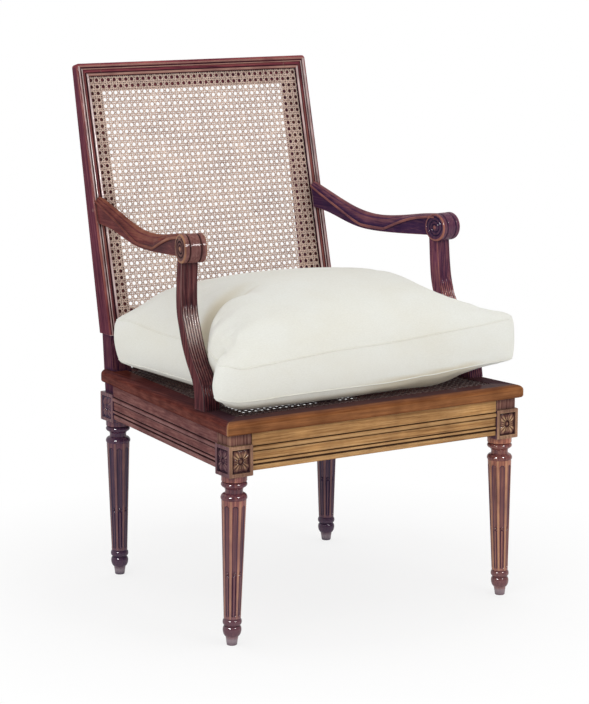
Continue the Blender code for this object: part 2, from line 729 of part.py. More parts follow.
# Raked back
def back_rail(name, outline):
    """Rail of the back frame between the stiles, tenoned and pegged at both ends."""
    end = OPENING_HALF_WIDTH - GAP
    points = [BACK_FRAME @ Vector((-end, y, along)) for y, along in outline]
    part = add_part(name, extruded(name, points, (2.0 * end, 0.0, 0.0)), MAHOGANY, BACK_FRAME)
    low_along = min(along for _, along in outline)
    high_along = max(along for _, along in outline)
    middle = (low_along + high_along) / 2.0
    rear = stile_depth(middle)
    tenon_y = (BACK_REBATE + stile_depth(high_along)) / 2.0
    for side, word in ((-1, "left"), (1, "right")):
        ends = sorted((side * (end - TENON_LENGTH), side * (end + TENON_LENGTH)))
        low = (ends[0], tenon_y - BACK_TENON_THICKNESS / 2.0, low_along + TENON_SHOULDER)
        high = (ends[1], tenon_y + BACK_TENON_THICKNESS / 2.0, high_along - TENON_SHOULDER)
        join(part, box("tenon", low, high, BACK_FRAME))
        stile = legs["rear", side]
        cut(stile, box("mortise", *grown(low, high), BACK_FRAME))
        x = side * (end + TENON_LENGTH / 2.0)
        deep = (BACK_REBATE + tenon_y - BACK_TENON_THICKNESS / 2.0) / 2.0
        peg(name + "_" + word + "_peg", BACK_FRAME @ Vector((x, deep, middle)),
            BACK_FRAME @ Vector((x, rear, middle)), (part, stile))
    return part


FRAME_RAIL = BACK_BAND + BACK_BORDER
CREST_LOW = BACK_LENGTH - FRAME_RAIL
back_rail("crest_rail", [
    (0.0, BACK_LENGTH),
    (0.0, BACK_LENGTH - BACK_BAND),
    (BACK_REBATE, BACK_LENGTH - BACK_BAND),
    (BACK_REBATE, CREST_LOW),
    (stile_depth(CREST_LOW), CREST_LOW),
    (stile_depth(BACK_LENGTH), BACK_LENGTH),
])
back_rail("back_bottom_rail", [
    (0.0, 0.0),
    (0.0, BACK_BAND),
    (BACK_REBATE, BACK_BAND),
    (BACK_REBATE, FRAME_RAIL),
    (stile_depth(FRAME_RAIL), FRAME_RAIL),
    (stile_depth(0.0), BACK_LEVEL),
])


# Caned panels
def net(name, columns, rows, point, place=Matrix.Identity(4)):
    """Flat net of cane: a grid whose cells are opened, given a thickness."""
    shape = bmesh.new()
    bmesh.ops.create_grid(shape, x_segments=columns, y_segments=rows, size=1.0)
    for vertex in shape.verts:
        vertex.co = point(vertex.co.x, vertex.co.y)
    shape.normal_update()
    cells = shape.faces[:]
    inset = bmesh.ops.inset_individual(shape, faces=cells, thickness=CANE_STRAND / 2.0)
    rims = set(inset["faces"])
    holes = [face for face in shape.faces if face not in rims]
    bmesh.ops.delete(shape, geom=holes, context="FACES")
    part = add_part(name, to_mesh(name, shape), CANE, place)
    depth = part.modifiers.new("thickness", "SOLIDIFY")
    depth.thickness = CANE_THICKNESS
    depth.offset = 0.0
    return part


def seat_point(u, v):
    front = SEAT_FRONT_Y + SEAT_FRAME_MARGIN + GAP
    rear = SEAT_REAR_Y - SEAT_FRAME_MARGIN - GAP
    y = front + (rear - front) * (v + 1.0) / 2.0
    x = u * (side_x(y, SEAT_FRAME_MARGIN) - GAP)
    return Vector((x, y, SEAT_HEIGHT - CANE_THICKNESS / 2.0))


def back_point(u, v):
    low = BACK_BAND + GAP
    high = BACK_LENGTH - BACK_BAND - GAP
    x = u * (BACK_HALF_WIDTH - BACK_BAND - GAP)
    along = low + (high - low) * (v + 1.0) / 2.0
    return BACK_FRAME @ Vector((x, BACK_REBATE - GAP - CANE_THICKNESS / 2.0, along))


net("seat_cane", SEAT_CANE_COLUMNS, SEAT_CANE_ROWS, seat_point)
net("back_cane", BACK_CANE_COLUMNS, BACK_CANE_ROWS, back_point, BACK_FRAME)


# Arms
SUPPORT_BASE_Y = FRONT_LEG_Y + SUPPORT_BASE_SETBACK
SUPPORT_BASE_CENTRE = side_x(SUPPORT_BASE_Y, SUPPORT_INSET)
SCROLL_CENTRE = SUPPORT_BASE_CENTRE - SCROLL_LEAN
SCROLL_HEIGHT = SEAT_HEIGHT + SCROLL_RISE
SCROLL_Y = FRONT_LEG_Y + SCROLL_SETBACK
ARM_ROOT_CENTRE = BACK_HALF_WIDTH - ARM_ROOT_INSET
ARM_ROOT_Z = SEAT_HEIGHT + ARM_ROOT_RISE
ARM_DIP_Z = SEAT_HEIGHT + ARM_DIP_RISE
ARM_END_Z = SCROLL_HEIGHT + ARM_END_RISE
ARM_RUN = back_y(ARM_ROOT_Z) - SCROLL_Y
TOE = math.atan(2.0 * (SCROLL_CENTRE - ARM_ROOT_CENTRE) / ARM_RUN)


def arm_edge(place, face, ease):
    """Height of an arm's top (face 1) or bottom (face -1), which falls to a dip and rises again."""
    root = ARM_ROOT_Z + face * ARM_ROOT_THICKNESS / 2.0
    dip = ARM_DIP_Z + face * ARM_DIP_THICKNESS / 2.0
    end = ARM_END_Z + face * ARM_END_THICKNESS / 2.0
    if place < ARM_DIP_PLACE:
        return dip + (root - dip) * (1.0 - place / ARM_DIP_PLACE) ** ease
    return dip + (end - dip) * smooth((place - ARM_DIP_PLACE) / (1.0 - ARM_DIP_PLACE))


def arm_top(place):
    return arm_edge(place, 1, ARM_DIP_EASE)


def arm_bottom(place):
    return arm_edge(place, -1, ARM_UNDERSIDE_EASE)


def arm_arris(place):
    """Height of the edge between the rounded top of an arm and its flat side."""
    if place < ARM_DIP_PLACE:
        bell = math.sin(math.pi / 2.0 * place / ARM_DIP_PLACE)
    else:
        bell = math.cos(math.pi / 2.0 * (place - ARM_DIP_PLACE) / (1.0 - ARM_DIP_PLACE))
    drop = ARM_ARRIS_LEAST + (ARM_ARRIS_DROP - ARM_ARRIS_LEAST) * max(bell, 0.0) ** ARM_ARRIS_EASE
    return arm_top(place) - drop


def arm_section(side, place):
    """Outline of an arm at a share of the way from the stile to the scroll."""
    centre = ARM_ROOT_CENTRE + (SCROLL_CENTRE - ARM_ROOT_CENTRE) * place ** 2
    half = ARM_ROOT_HALF_WIDTH + (SCROLL_WIDTH / 2.0 - ARM_ROOT_HALF_WIDTH) * place
    top = arm_top(place)
    arris = arm_arris(place)
    shoulder = arris + (top - arris) * ARM_SHOULDER_RISE
    outline = [
        (-1.0, arm_bottom(place)),
        (1.0, arm_bottom(place)),
        (1.0, arris),
        (ARM_SHOULDER_WIDTH, shoulder),
        (ARM_CROWN_WIDTH, top),
        (-ARM_CROWN_WIDTH, top),
        (-ARM_SHOULDER_WIDTH, shoulder),
        (-1.0, arris),
    ]
    lean = math.tan(BACK_RAKE) * (1.0 - place) ** 2
    points = []
    for across, z in outline:
        y = back_y(ARM_ROOT_Z) - GAP - ARM_RUN * place + lean * (z - ARM_ROOT_Z)
        points.append((side * (centre + across * half), y, z))
    return points


def scroll_axis(side):
    """Direction along a scroll, towards the outside of the chair."""
    return Vector((side * math.cos(TOE), math.sin(TOE), 0.0))


def arm(name, side):
    """Arm with its scroll, tenoned into the back stile."""
    stations = [index / (ARM_STATIONS - 1) for index in range(ARM_STATIONS)]
    centre = Vector((side * SCROLL_CENTRE, SCROLL_Y, SCROLL_HEIGHT))
    mesh = loft(name, [arm_section(side, place) for place in stations])
    part = add_part(name, mesh, DARK_MAHOGANY, Matrix.Translation(centre))
    reach = scroll_axis(side) * SCROLL_WIDTH / 2.0
    join(part, rod("scroll", centre - reach, centre + reach, SCROLL_RADIUS, SCROLL_SIDES))
    root = side * ARM_ROOT_CENTRE
    face = back_y(ARM_ROOT_Z)
    low = (root - ARM_TENON_WIDTH / 2.0, face - ARM_TENON_LENGTH, ARM_ROOT_Z - ARM_TENON_HEIGHT / 2.0)
    high = (root + ARM_TENON_WIDTH / 2.0, face + ARM_TENON_LENGTH, ARM_ROOT_Z + ARM_TENON_HEIGHT / 2.0)
    join(part, box("tenon", low, high))
    stile = legs["rear", side]
    cut(stile, box("mortise", *grown(low, high)))
    y = face + ARM_TENON_LENGTH / 2.0
    deep = (ARM_ROOT_CENTRE - ARM_TENON_WIDTH / 2.0 + BACK_HALF_WIDTH - BACK_BAND) / 2.0
    peg(name + "_peg", (side * deep, y, ARM_ROOT_Z), (side * BACK_HALF_WIDTH, y, ARM_ROOT_Z), (part, stile))
    return part


# Arm supports
SUPPORT_FOOT = SEAT_HEIGHT + GAP
SUPPORT_HEAD = SCROLL_HEIGHT - SCROLL_RADIUS / 2.0


def support_centre(side, share):
    """Middle of an arm support at a share of its height, swept forward towards its foot."""
    sweep = smooth(share ** SUPPORT_SWEEP_EASE)
    setback = SUPPORT_BASE_SETBACK + (SUPPORT_TOP_SETBACK - SUPPORT_BASE_SETBACK) * sweep
    x = SUPPORT_BASE_CENTRE + (SCROLL_CENTRE - SUPPORT_BASE_CENTRE) * share
    z = SUPPORT_FOOT + (SUPPORT_HEAD - SUPPORT_FOOT) * share
    return Vector((side * x, FRONT_LEG_Y + setback, z))


def support_section(side, share):
    swell = (1.0 - share) ** SUPPORT_DEPTH_EASE
    depth = SUPPORT_TOP_DEPTH + (SUPPORT_BASE_DEPTH - SUPPORT_TOP_DEPTH) * swell
    centre = support_centre(side, share)
    across = scroll_axis(side) * SUPPORT_WIDTH / 2.0
    back = Vector((-side * math.sin(TOE), math.cos(TOE), 0.0)) * depth / 2.0
    return [centre - across - back, centre + across - back, centre + across + back, centre - across + back]


def arm_support(name, side, holder, seat_member):
    """Swept support, doweled into the scroll above and the seat frame below."""
    stations = [index / (SUPPORT_STATIONS - 1) for index in range(SUPPORT_STATIONS)]
    foot = support_centre(side, 0.0)
    mesh = loft(name, [support_section(side, share) for share in stations])
    part = add_part(name, mesh, DARK_MAHOGANY, Matrix.Translation(foot))
    centre = Vector((side * SCROLL_CENTRE, SCROLL_Y, SCROLL_HEIGHT))
    reach = scroll_axis(side) * SCROLL_WIDTH
    cut(part, rod("scroll_seat", centre - reach, centre + reach, SCROLL_RADIUS + GAP, SCROLL_SIDES))
    down = Vector((0.0, 0.0, SUPPORT_TENON_LENGTH))
    join(part, rod("foot_tenon", foot - down, foot + down, SUPPORT_TENON_RADIUS, TENON_SIDES))
    cut(seat_member, rod("foot_mortise", foot - down - Vector((0.0, 0.0, GAP)), foot + down,
                         SUPPORT_TENON_RADIUS + GAP, TENON_SIDES))
    low = SCROLL_HEIGHT - SCROLL_RADIUS - SCROLL_TENON_LENGTH
    high = SCROLL_HEIGHT - SCROLL_RADIUS + SCROLL_TENON_LENGTH
    y = support_centre(side, (low - SUPPORT_FOOT) / (SUPPORT_HEAD - SUPPORT_FOOT)).y
    start = Vector((centre.x, y, low))
    join(part, rod("head_tenon", start, (centre.x, y, high), SCROLL_TENON_RADIUS, TENON_SIDES))
    cut(holder, rod("head_mortise", start, (centre.x, y, high + GAP),
                    SCROLL_TENON_RADIUS + GAP, TENON_SIDES))
    return part


left_arm = arm("left_arm", -1)
right_arm = arm("right_arm", 1)
arm_support("left_arm_support", -1, left_arm, seat_left)
arm_support("right_arm_support", 1, right_arm, seat_right)


# Loose cushion
CUSHION_FRONT = SEAT_FRONT_Y + CUSHION_FRONT_SETBACK
CUSHION_REAR = post_front(SEAT_HEIGHT) - CUSHION_BACK_GAP
CUSHION_BASE = SEAT_HEIGHT + CUSHION_CLEARANCE
CUSHION_HALF_WIDTH = SCROLL_CENTRE - SUPPORT_WIDTH / 2.0 - CUSHION_SIDE_GAP
CUSHION_EAR_HALF_WIDTH = side_x(SEAT_FRONT_Y) + CUSHION_EAR_OVERHANG
CUSHION_EAR_REAR = SUPPORT_BASE_Y - SUPPORT_BASE_DEPTH / 2.0 - CUSHION_EAR_GAP


def cushion_rows():
    """Depth and half-width of each row of the cushion, from its front to its back."""
    ear = CUSHION_EAR_REAR - CUSHION_CORNER
    rows = [
        (CUSHION_FRONT, CUSHION_EAR_HALF_WIDTH - CUSHION_CORNER / 2.0),
        (CUSHION_FRONT + CUSHION_CORNER / 2.0, CUSHION_EAR_HALF_WIDTH),
        (ear - CUSHION_CORNER / 2.0, CUSHION_EAR_HALF_WIDTH),
        (ear, CUSHION_EAR_HALF_WIDTH - CUSHION_CORNER),
    ]
    run = CUSHION_REAR - CUSHION_CORNER / 2.0 - CUSHION_EAR_REAR
    for index in range(CUSHION_BODY_ROWS + 1):
        share = index / CUSHION_BODY_ROWS
        drawn = CUSHION_DRAWN_IN * math.sin(math.pi * share)
        rows.append((CUSHION_EAR_REAR + run * share, CUSHION_HALF_WIDTH - drawn))
    rows.append((CUSHION_REAR, CUSHION_HALF_WIDTH - CUSHION_CORNER / 2.0))
    return rows


def rounded(share):
    """Squarish round: full in the middle and nothing at either end."""
    fall = min(abs(share), 1.0) ** CUSHION_CROWN_SQUARENESS
    return (1.0 - fall) ** (1.0 / CUSHION_CROWN_SQUARENESS)


def cushion_points(across, y, half):
    """Lower and upper points of the cushion at a share of its half-width and a depth."""
    share = (y - CUSHION_FRONT) / (CUSHION_REAR - CUSHION_FRONT)
    dome = rounded(across) * rounded(2.0 * share - 1.0)
    depth = y + CUSHION_DRAWN_IN * (1.0 - across ** 2) * (1.0 - 2.0 * share)
    near_front = smooth(1.0 - 2.0 * share)
    lift = CUSHION_CORNER_LIFT * smooth(across) * near_front
    sink = CUSHION_CORNER_SINK * smooth(-across) * near_front
    low = CUSHION_BASE + max(CUSHION_SEAM_BOTTOM * (1.0 - 2.0 * dome), 0.0) + lift
    high = CUSHION_BASE + CUSHION_SEAM_TOP + CUSHION_CROWN * dome + lift - sink
    return Vector((half * across, depth, low)), Vector((half * across, depth, high))


def cushion():
    """Boxed cushion with a crown, drawn-in sides and ears in front of the arm supports."""
    rows = cushion_rows()
    last_row = len(rows) - 1
    shape = bmesh.new()
    bmesh.ops.create_grid(shape, x_segments=CUSHION_COLUMNS, y_segments=last_row, size=1.0)
    raised = bmesh.ops.extrude_face_region(shape, geom=shape.faces[:])["geom"]
    upper = {item for item in raised if isinstance(item, bmesh.types.BMVert)}
    for vertex in shape.verts:
        across = vertex.co.x
        y, half = rows[round((vertex.co.y + 1.0) / 2.0 * last_row)]
        low, high = cushion_points(across, y, half)
        vertex.co = high if vertex in upper else low
    walls = {face for face in shape.faces if 0 < len(upper.intersection(face.verts)) < len(face.verts)}
    crease = shape.edges.layers.float.new("crease_edge")
    for edge in shape.edges:
        if len(walls.intersection(edge.link_faces)) == 1:
            edge[crease] = CUSHION_CREASE
    place = Matrix.Translation((0.0, (CUSHION_FRONT + CUSHION_REAR) / 2.0, CUSHION_BASE))
    part = add_part("cushion", to_mesh("cushion", shape), COTTON, place)
    soft = part.modifiers.new("softness", "SUBSURF")
    soft.levels = 1
    soft.render_levels = 1
    return part


cushion()
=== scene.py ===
"""Looks of the caned fauteuil: carved and polished mahogany, woven cane and a loose cotton cushion.

Metres, +Z up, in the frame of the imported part. The chair faces -Y, and left is -X.
"""
import math

import bmesh
import bpy
import numpy as np
from mathutils import Matrix, Vector
from mathutils.bvhtree import BVHTree
from mathutils.kdtree import KDTree


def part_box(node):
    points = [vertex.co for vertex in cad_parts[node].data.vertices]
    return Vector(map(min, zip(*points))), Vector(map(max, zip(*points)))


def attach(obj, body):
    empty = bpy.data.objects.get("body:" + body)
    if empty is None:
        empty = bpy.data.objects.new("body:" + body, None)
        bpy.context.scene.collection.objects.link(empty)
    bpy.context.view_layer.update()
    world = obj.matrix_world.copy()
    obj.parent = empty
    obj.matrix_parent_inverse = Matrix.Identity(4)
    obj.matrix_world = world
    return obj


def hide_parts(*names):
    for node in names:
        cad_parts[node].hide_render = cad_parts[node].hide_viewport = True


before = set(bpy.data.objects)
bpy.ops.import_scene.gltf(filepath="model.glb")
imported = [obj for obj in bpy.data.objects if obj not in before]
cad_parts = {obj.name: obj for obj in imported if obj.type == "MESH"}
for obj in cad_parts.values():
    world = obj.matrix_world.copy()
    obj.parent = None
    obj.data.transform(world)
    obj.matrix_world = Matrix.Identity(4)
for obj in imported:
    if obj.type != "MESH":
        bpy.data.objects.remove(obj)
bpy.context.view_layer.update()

# Main sizes, as the solids have them
SEAT_FRONT_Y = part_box("seat_frame_front")[0].y
SEAT_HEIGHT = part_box("seat_frame_front")[1].z
TOTAL_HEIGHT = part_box("crest_rail")[1].z
FRONT_LEG_SPREAD = 0.535
REAR_LEG_SPREAD = 0.445
LEG_DEPTH_SPREAD = 0.475
FRONT_LEG_SPLAY = 0.006
SIDES = ((-1, "left"), (1, "right"))
GAP = 0.0003
MERGE = 0.000002
SHARP_ANGLE = math.radians(32.0)
EDGE = 0.0008

# Legs and their dies
SHAFT_BOTTOM = 0.0452
SHAFT_TOP = 0.2437
SHAFT_BOTTOM_RADIUS = 0.0141
SHAFT_TOP_RADIUS = 0.0205
FLUTE_COUNT = 8
FLUTE_FOOT = 0.0490
FLUTE_TOP = 0.2350
FLUTE_BOTTOM_HALF = 0.0037
FLUTE_TOP_HALF = 0.0053
FLUTE_SINK = 0.62
FLUTE_COLUMNS = 14
FILLET_COLUMNS = 3
ROD_TOP = 0.1195
ROD_SHARE = 0.80
ROD_SINK = 0.0004
# Tones of the legs: painted shade in the flutes and in a line along their edges, a darker tone on the plain
# rings, and a painted highlight on the fillets
FLUTE_SHADE = 0.48
FLUTE_LINE = 0.95
FLUTE_LINE_WIDTH = 0.22
COLLAR_TONE = 0.55
NECK_HEIGHT = 0.2735
FILLET_HIGHLIGHT = 0.60
PEARL_RADIUS = 0.0023
DIE_SIZE = 0.045
DIE_BOTTOM = 0.2832
DIE_TOP = 0.3342
BLOCK_INSET = 0.004
PANEL_BORDER = 0.0058
PANEL_SLOPE = 0.0012
PANEL_DEPTH = 0.0036
# Painted shade that deepens with the carving of the dies, and painted highlights on the petals and the border
PANEL_TONE = 1.7
PETAL_ROOT = 0.0030
BUTTON_RADIUS = 0.0036
BUTTON_HEIGHT = 0.0028
BUTTON_RING = 0.0044
BUTTON_RING_WIDTH = 0.0006
PETAL_HIGHLIGHT = 0.7
BORDER_HIGHLIGHT = 0.25
CARVING_COLUMNS = 54
CARVING_ROWS = 60

# Seat rails and the seat frame
RAIL_TOP = 0.3522
RAIL_BOTTOM = 0.2902
RAIL_THICKNESS = 0.024
RAIL_SETBACK = 0.004
SEAT_UNDERSIDE = 0.3525
SEAT_FRAME_WIDTH = 0.062
SEAT_FRAME_MARGIN = 0.038
SEAT_FRAME_OVERHANG = 0.027
SEAT_FRAME_TAIL = 0.012
NOSE_TOP_RADIUS = 0.009
NOSE_BOTTOM_RADIUS = 0.005
# Painted shade on the seat frame's flat top, and a painted highlight along its nose
SEAT_TONE = 0.85
NOSE_HIGHLIGHT = 0.14
CANE_THICKNESS = 0.002

# Raked back
BACK_BOTTOM = 0.438
BACK_RAKE = math.radians(13.6)
BACK_SETBACK = -0.0103
BACK_HALF_WIDTH = 0.2405
STILE_BOTTOM_DEPTH = 0.040
STILE_TOP_DEPTH = 0.019
BACK_BAND = 0.0235
BACK_BORDER = 0.0245
BACK_CORNER_RADIUS = 0.006
BACK_REBATE = 0.008
CREST_FROM = 0.85
# Painted shade on the rebate's floor behind the back's cane, on the stiles and on the rails
STILE_BED_TONE = 0.65
RAIL_BED_TONE = 0.50
POST_INNER = 0.2005
POST_OUTER = 0.2375
POST_DEPTH = 0.036
POST_LAP = 0.020
POST_CHEEK = 0.003

# Arms, scrolls and arm supports
ARM_ROOT_CENTRE = 0.2265
ARM_ROOT_HALF_WIDTH = 0.0120
ARM_ROOT_Z = 0.6545
ARM_TOP = ((0.0, 0.678), (0.08, 0.670), (0.15, 0.6625), (0.22, 0.655), (0.32, 0.6455), (0.40, 0.640),
           (0.50, 0.6365), (0.58, 0.637), (0.67, 0.640), (0.77, 0.645), (0.87, 0.651), (1.0, 0.655))
ARM_BOTTOM = ((0.0, 0.632), (0.09, 0.6295), (0.15, 0.627), (0.24, 0.620), (0.34, 0.613), (0.43, 0.609),
              (0.54, 0.6085), (0.64, 0.6095), (0.74, 0.611), (0.94, 0.6155), (1.0, 0.617))
ARM_ARRIS = ((0.0, 0.12), (0.10, 0.24), (0.25, 0.38), (0.40, 0.66), (0.50, 0.86), (0.57, 0.88), (0.65, 0.62),
             (0.72, 0.34), (0.80, 0.16), (0.90, 0.08), (1.0, 0.08))
ARM_CHEEK = ((0.0, 0.0016), (0.55, 0.0018), (0.78, 0.0050), (1.0, 0.0062))
ARM_BEAD = 0.0026
# Painted highlight along the arm's crown
CROWN_HIGHLIGHT = 0.38
EASE_ROUNDS = 14
ARM_STATIONS = 72
ARM_COLUMNS = 61
ARM_GROOVE_PLACE = 0.50
ARM_GROOVE_WIDTH = 0.0008
ARM_GROOVE_DEPTH = 0.0009
SCROLL_CENTRE = 0.2545
SCROLL_HEIGHT = 0.6317
SCROLL_SETBACK = 0.155
SCROLL_RADIUS = 0.0242
SCROLL_WIDTH = 0.0396
SCROLL_COLUMNS = 96
SCROLL_ROUND = 0.0018
BARREL_FROM = 0.0026
BARREL_RINGS = 40
SCROLL_GROOVE_WIDTH = 0.0013
SCROLL_GROOVE_DEPTH = 0.0022
VOLUTE_START = 0.0005
VOLUTE_RINGS = 34
VOLUTE_RIM = 0.0048
VOLUTE_PITCH = 0.0064
VOLUTE_WIDTH = 0.0011
VOLUTE_DEPTH = 0.0018
VOLUTE_EYE = 0.0040
# Painted shade on the scroll's end face
VOLUTE_TONE = 0.45
SUPPORT_BASE_CENTRE = 0.2675
SUPPORT_SWEEP = ((0.0, 0.0854), (0.068, 0.0862), (0.125, 0.0905), (0.181, 0.0972), (0.234, 0.1077),
                 (0.287, 0.1195), (0.342, 0.1285), (0.397, 0.1376), (0.453, 0.1439), (0.51, 0.1505),
                 (0.596, 0.1600), (0.684, 0.1645), (0.80, 0.1662), (1.0, 0.1665))
SUPPORT_WIDTH = 0.029
SUPPORT_BASE_DEPTH = 0.034
SUPPORT_TOP_DEPTH = 0.022
SUPPORT_DEPTH_EASE = 1.5
SUPPORT_STATIONS = 90
SUPPORT_COLUMNS = 85
SUPPORT_FLUTES = 3
SUPPORT_REEDS = 6
REED_TOP = 0.535
# Painted glint across the reeds, and painted shade towards the support's foot
REED_SHINE = 0.60
REED_SHINE_Z = 0.498
REED_SHINE_REACH = 0.028
FOOT_TONE = 0.25
FOOT_SHADE_TOP = 0.445
FOOT_SHADE_REACH = 0.060

# Woven cane
CANE_PITCH = 0.0118
CANE_PAIR = 0.0036
CANE_WIDTH = 0.0019
CANE_RISE = 0.0007
CANE_SWAY = 0.0005
CANE_UNDER = 1.2 * CANE_SWAY
CANE_OVER = 1.6 * CANE_SWAY
CANE_END = 0.05

# Places that follow
FRONT_LEG_Y = SEAT_FRONT_Y + SEAT_FRAME_OVERHANG
REAR_LEG_Y = FRONT_LEG_Y + LEG_DEPTH_SPREAD
SEAT_REAR_Y = REAR_LEG_Y + SEAT_FRAME_TAIL
SIDE_SLOPE = (FRONT_LEG_SPREAD - REAR_LEG_SPREAD) / 2.0 / LEG_DEPTH_SPREAD
SIDE_STRETCH = math.hypot(1.0, SIDE_SLOPE)
BACK_LENGTH = (TOTAL_HEIGHT - BACK_BOTTOM) / math.cos(BACK_RAKE)
BACK_FRAME = (Matrix.Translation((0.0, REAR_LEG_Y + BACK_SETBACK, BACK_BOTTOM))
              @ Matrix.Rotation(-BACK_RAKE, 4, "X"))
OPENING_HALF_WIDTH = BACK_HALF_WIDTH - BACK_BAND - BACK_BORDER
FRAME_RAIL = BACK_BAND + BACK_BORDER
RAIL_FACE = DIE_SIZE / 2.0 - RAIL_SETBACK
SCROLL_Y = FRONT_LEG_Y + SCROLL_SETBACK
SUPPORT_FOOT = SEAT_HEIGHT + GAP
SUPPORT_HEAD = SCROLL_HEIGHT - SCROLL_RADIUS / 2.0


def side_x(y, inward=0.0):
    """Half-width of the seat at a depth, measured in from the outer edge."""
    outer = FRONT_LEG_SPREAD / 2.0 + SEAT_FRAME_OVERHANG * SIDE_STRETCH
    return outer - SIDE_SLOPE * (y - FRONT_LEG_Y) - inward * SIDE_STRETCH


def back_y(z):
    """Depth of the front plane of the raked back at a height."""
    return REAR_LEG_Y + BACK_SETBACK + (z - BACK_BOTTOM) * math.tan(BACK_RAKE)


def stile_depth(along):
    """Thickness of the back at a distance up its slope."""
    return STILE_BOTTOM_DEPTH + (STILE_TOP_DEPTH - STILE_BOTTOM_DEPTH) * along / BACK_LENGTH


def smooth(value):
    """Ease from 0 to 1."""
    value = np.clip(value, 0.0, 1.0)
    return value * value * (3.0 - 2.0 * value)


def bell(distance, width):
    """Bell curve: 1 at no distance, and little beyond a width."""
    return np.exp(-((distance / width) ** 2))


def dome(share):
    """Height of a half round of radius 1 at a share of its half width."""
    return np.sqrt(np.clip(1.0 - share ** 2, 0.0, None))


def eased(points, count):
    """Values at equal steps through points of place and value, softened so that no corner shows."""
    places, values = np.array(points).T
    line = np.interp(np.linspace(0.0, 1.0, count), places, values)
    for _ in range(EASE_ROUNDS):
        line[1:-1] = (line[:-2] + 2.0 * line[1:-1] + line[2:]) / 4.0
    return line


def arc(centre, radii, start, end, points):
    """Points on an arc of a section from its radii across and up, angles in degrees."""
    angles = np.radians(np.linspace(start, end, points))
    return [(centre[0] + radii[0] * math.cos(angle), centre[1] + radii[1] * math.sin(angle))
            for angle in angles]


ARM_RUN = back_y(ARM_ROOT_Z) - SCROLL_Y
TOE = math.atan(2.0 * (SCROLL_CENTRE - ARM_ROOT_CENTRE) / ARM_RUN)


# Shader nodes
def feed(tree, made, inputs):
    """Link or set the inputs of a node by name or number."""
    for key, value in inputs.items():
        if isinstance(value, bpy.types.NodeSocket):
            tree.links.new(value, made.inputs[key])
        else:
            made.inputs[key].default_value = value


def node(tree, kind, inputs=None, **settings):
    """Add a node, set its options and feed its inputs."""
    made = tree.nodes.new(kind)
    for key, value in settings.items():
        setattr(made, key, value)
    feed(tree, made, inputs or {})
    return made


def ramp(tree, factor, *stops):
    """Colour ramp through stops of place and colour."""
    made = node(tree, "ShaderNodeValToRGB", {"Fac": factor})
    elements = made.color_ramp.elements
    while len(elements) < len(stops):
        elements.new(0.5)
    for element, (place, colour) in zip(elements, stops):
        element.position = place
        element.color = (*colour, 1.0)
    return made.outputs["Color"]


def blend_colour(tree, factor, first, second, how="MIX"):
    """Mix a colour with another one, which may be a plain colour."""
    if not isinstance(second, bpy.types.NodeSocket):
        second = (*second, 1.0)
    made = node(tree, "ShaderNodeMix", {0: factor, 6: first, 7: second}, data_type="RGBA", blend_type=how)
    return made.outputs[2]


def math_node(tree, operation, first, second=0.0):
    return node(tree, "ShaderNodeMath", {0: first, 1: second}, operation=operation).outputs[0]


def openness(tree, reach, samples, inside=False):
    """1 on open faces and less where other faces are near, outside or within the solid."""
    return node(tree, "ShaderNodeAmbientOcclusion", {"Distance": reach}, samples=samples,
                inside=inside).outputs["AO"]


def bumped(tree, height, strength, depth):
    """Normal of a surface that rises by a depth where a height is 1."""
    return node(tree, "ShaderNodeBump", {"Height": height, "Strength": strength,
                                         "Distance": depth}).outputs["Normal"]


def tone_of(tree):
    """Tone of a surface, as its mesh has it."""
    return node(tree, "ShaderNodeAttribute", attribute_name=TONE).outputs["Fac"]


def spread(tree, value, low, high, to_low, to_high):
    """Map a value from one range to another, clamped."""
    return node(tree, "ShaderNodeMapRange", {"Value": value, "From Min": low, "From Max": high,
                                             "To Min": to_low, "To Max": to_high}).outputs["Result"]


def noise(tree, place, size, turn=(0.0, 0.0, 0.0), detail=3.0, roughness=0.5):
    """Noise whose features have a size in metres along each axis of a turned frame."""
    mapped = node(tree, "ShaderNodeMapping", {"Vector": place, "Rotation": turn, "Scale": size},
                  vector_type="TEXTURE")
    made = node(tree, "ShaderNodeTexNoise", {"Vector": mapped.outputs["Vector"], "Scale": 1.0,
                                             "Detail": detail, "Roughness": roughness})
    return made.outputs["Fac"]


def new_material(name):
    material = bpy.data.materials.new(name)
    material.use_nodes = True
    tree = material.node_tree
    place = node(tree, "ShaderNodeTexCoord").outputs["Object"]
    return material, tree, tree.nodes["Principled BSDF"], place


GRAIN_ACROSS = 0.0032
GRAIN_ALONG = 0.12
PORE_ACROSS = 0.0006
PORE_ALONG = 0.011
PORE_DEPTH = 0.0002
BLOTCH = 0.045
# Painted shade in recesses: its colour and the reach within which near faces darken it
HOLLOW_SHADE = (0.012, 0.005, 0.009)
HOLLOW_SHADE_REACH = 0.008
# Edges lightened by use and painted highlights: their colour and, below, the reach of thin edges and their
# coat
WEAR_AND_HIGHLIGHT = (0.420, 0.200, 0.085)
EDGE_REACH = 0.0022
TONE = "tone"
REAR_RIGHT = (0.7071, 0.7071, 0.0)
WORN_AND_LIT_COAT = 0.40
COAT_ROUGHNESS = 0.08
# Heights over which a tint grows towards the floor, then the dusty tips of the feet and their colour
LOW_TINT_HEIGHTS = (0.0, 0.26)
TIP_HEIGHTS = (0.009, 0.016)
TIP_DUST = (0.290, 0.240, 0.270)


def along_axis(axis, across, along):
    return tuple(along if letter == axis else across for letter in "XYZ")


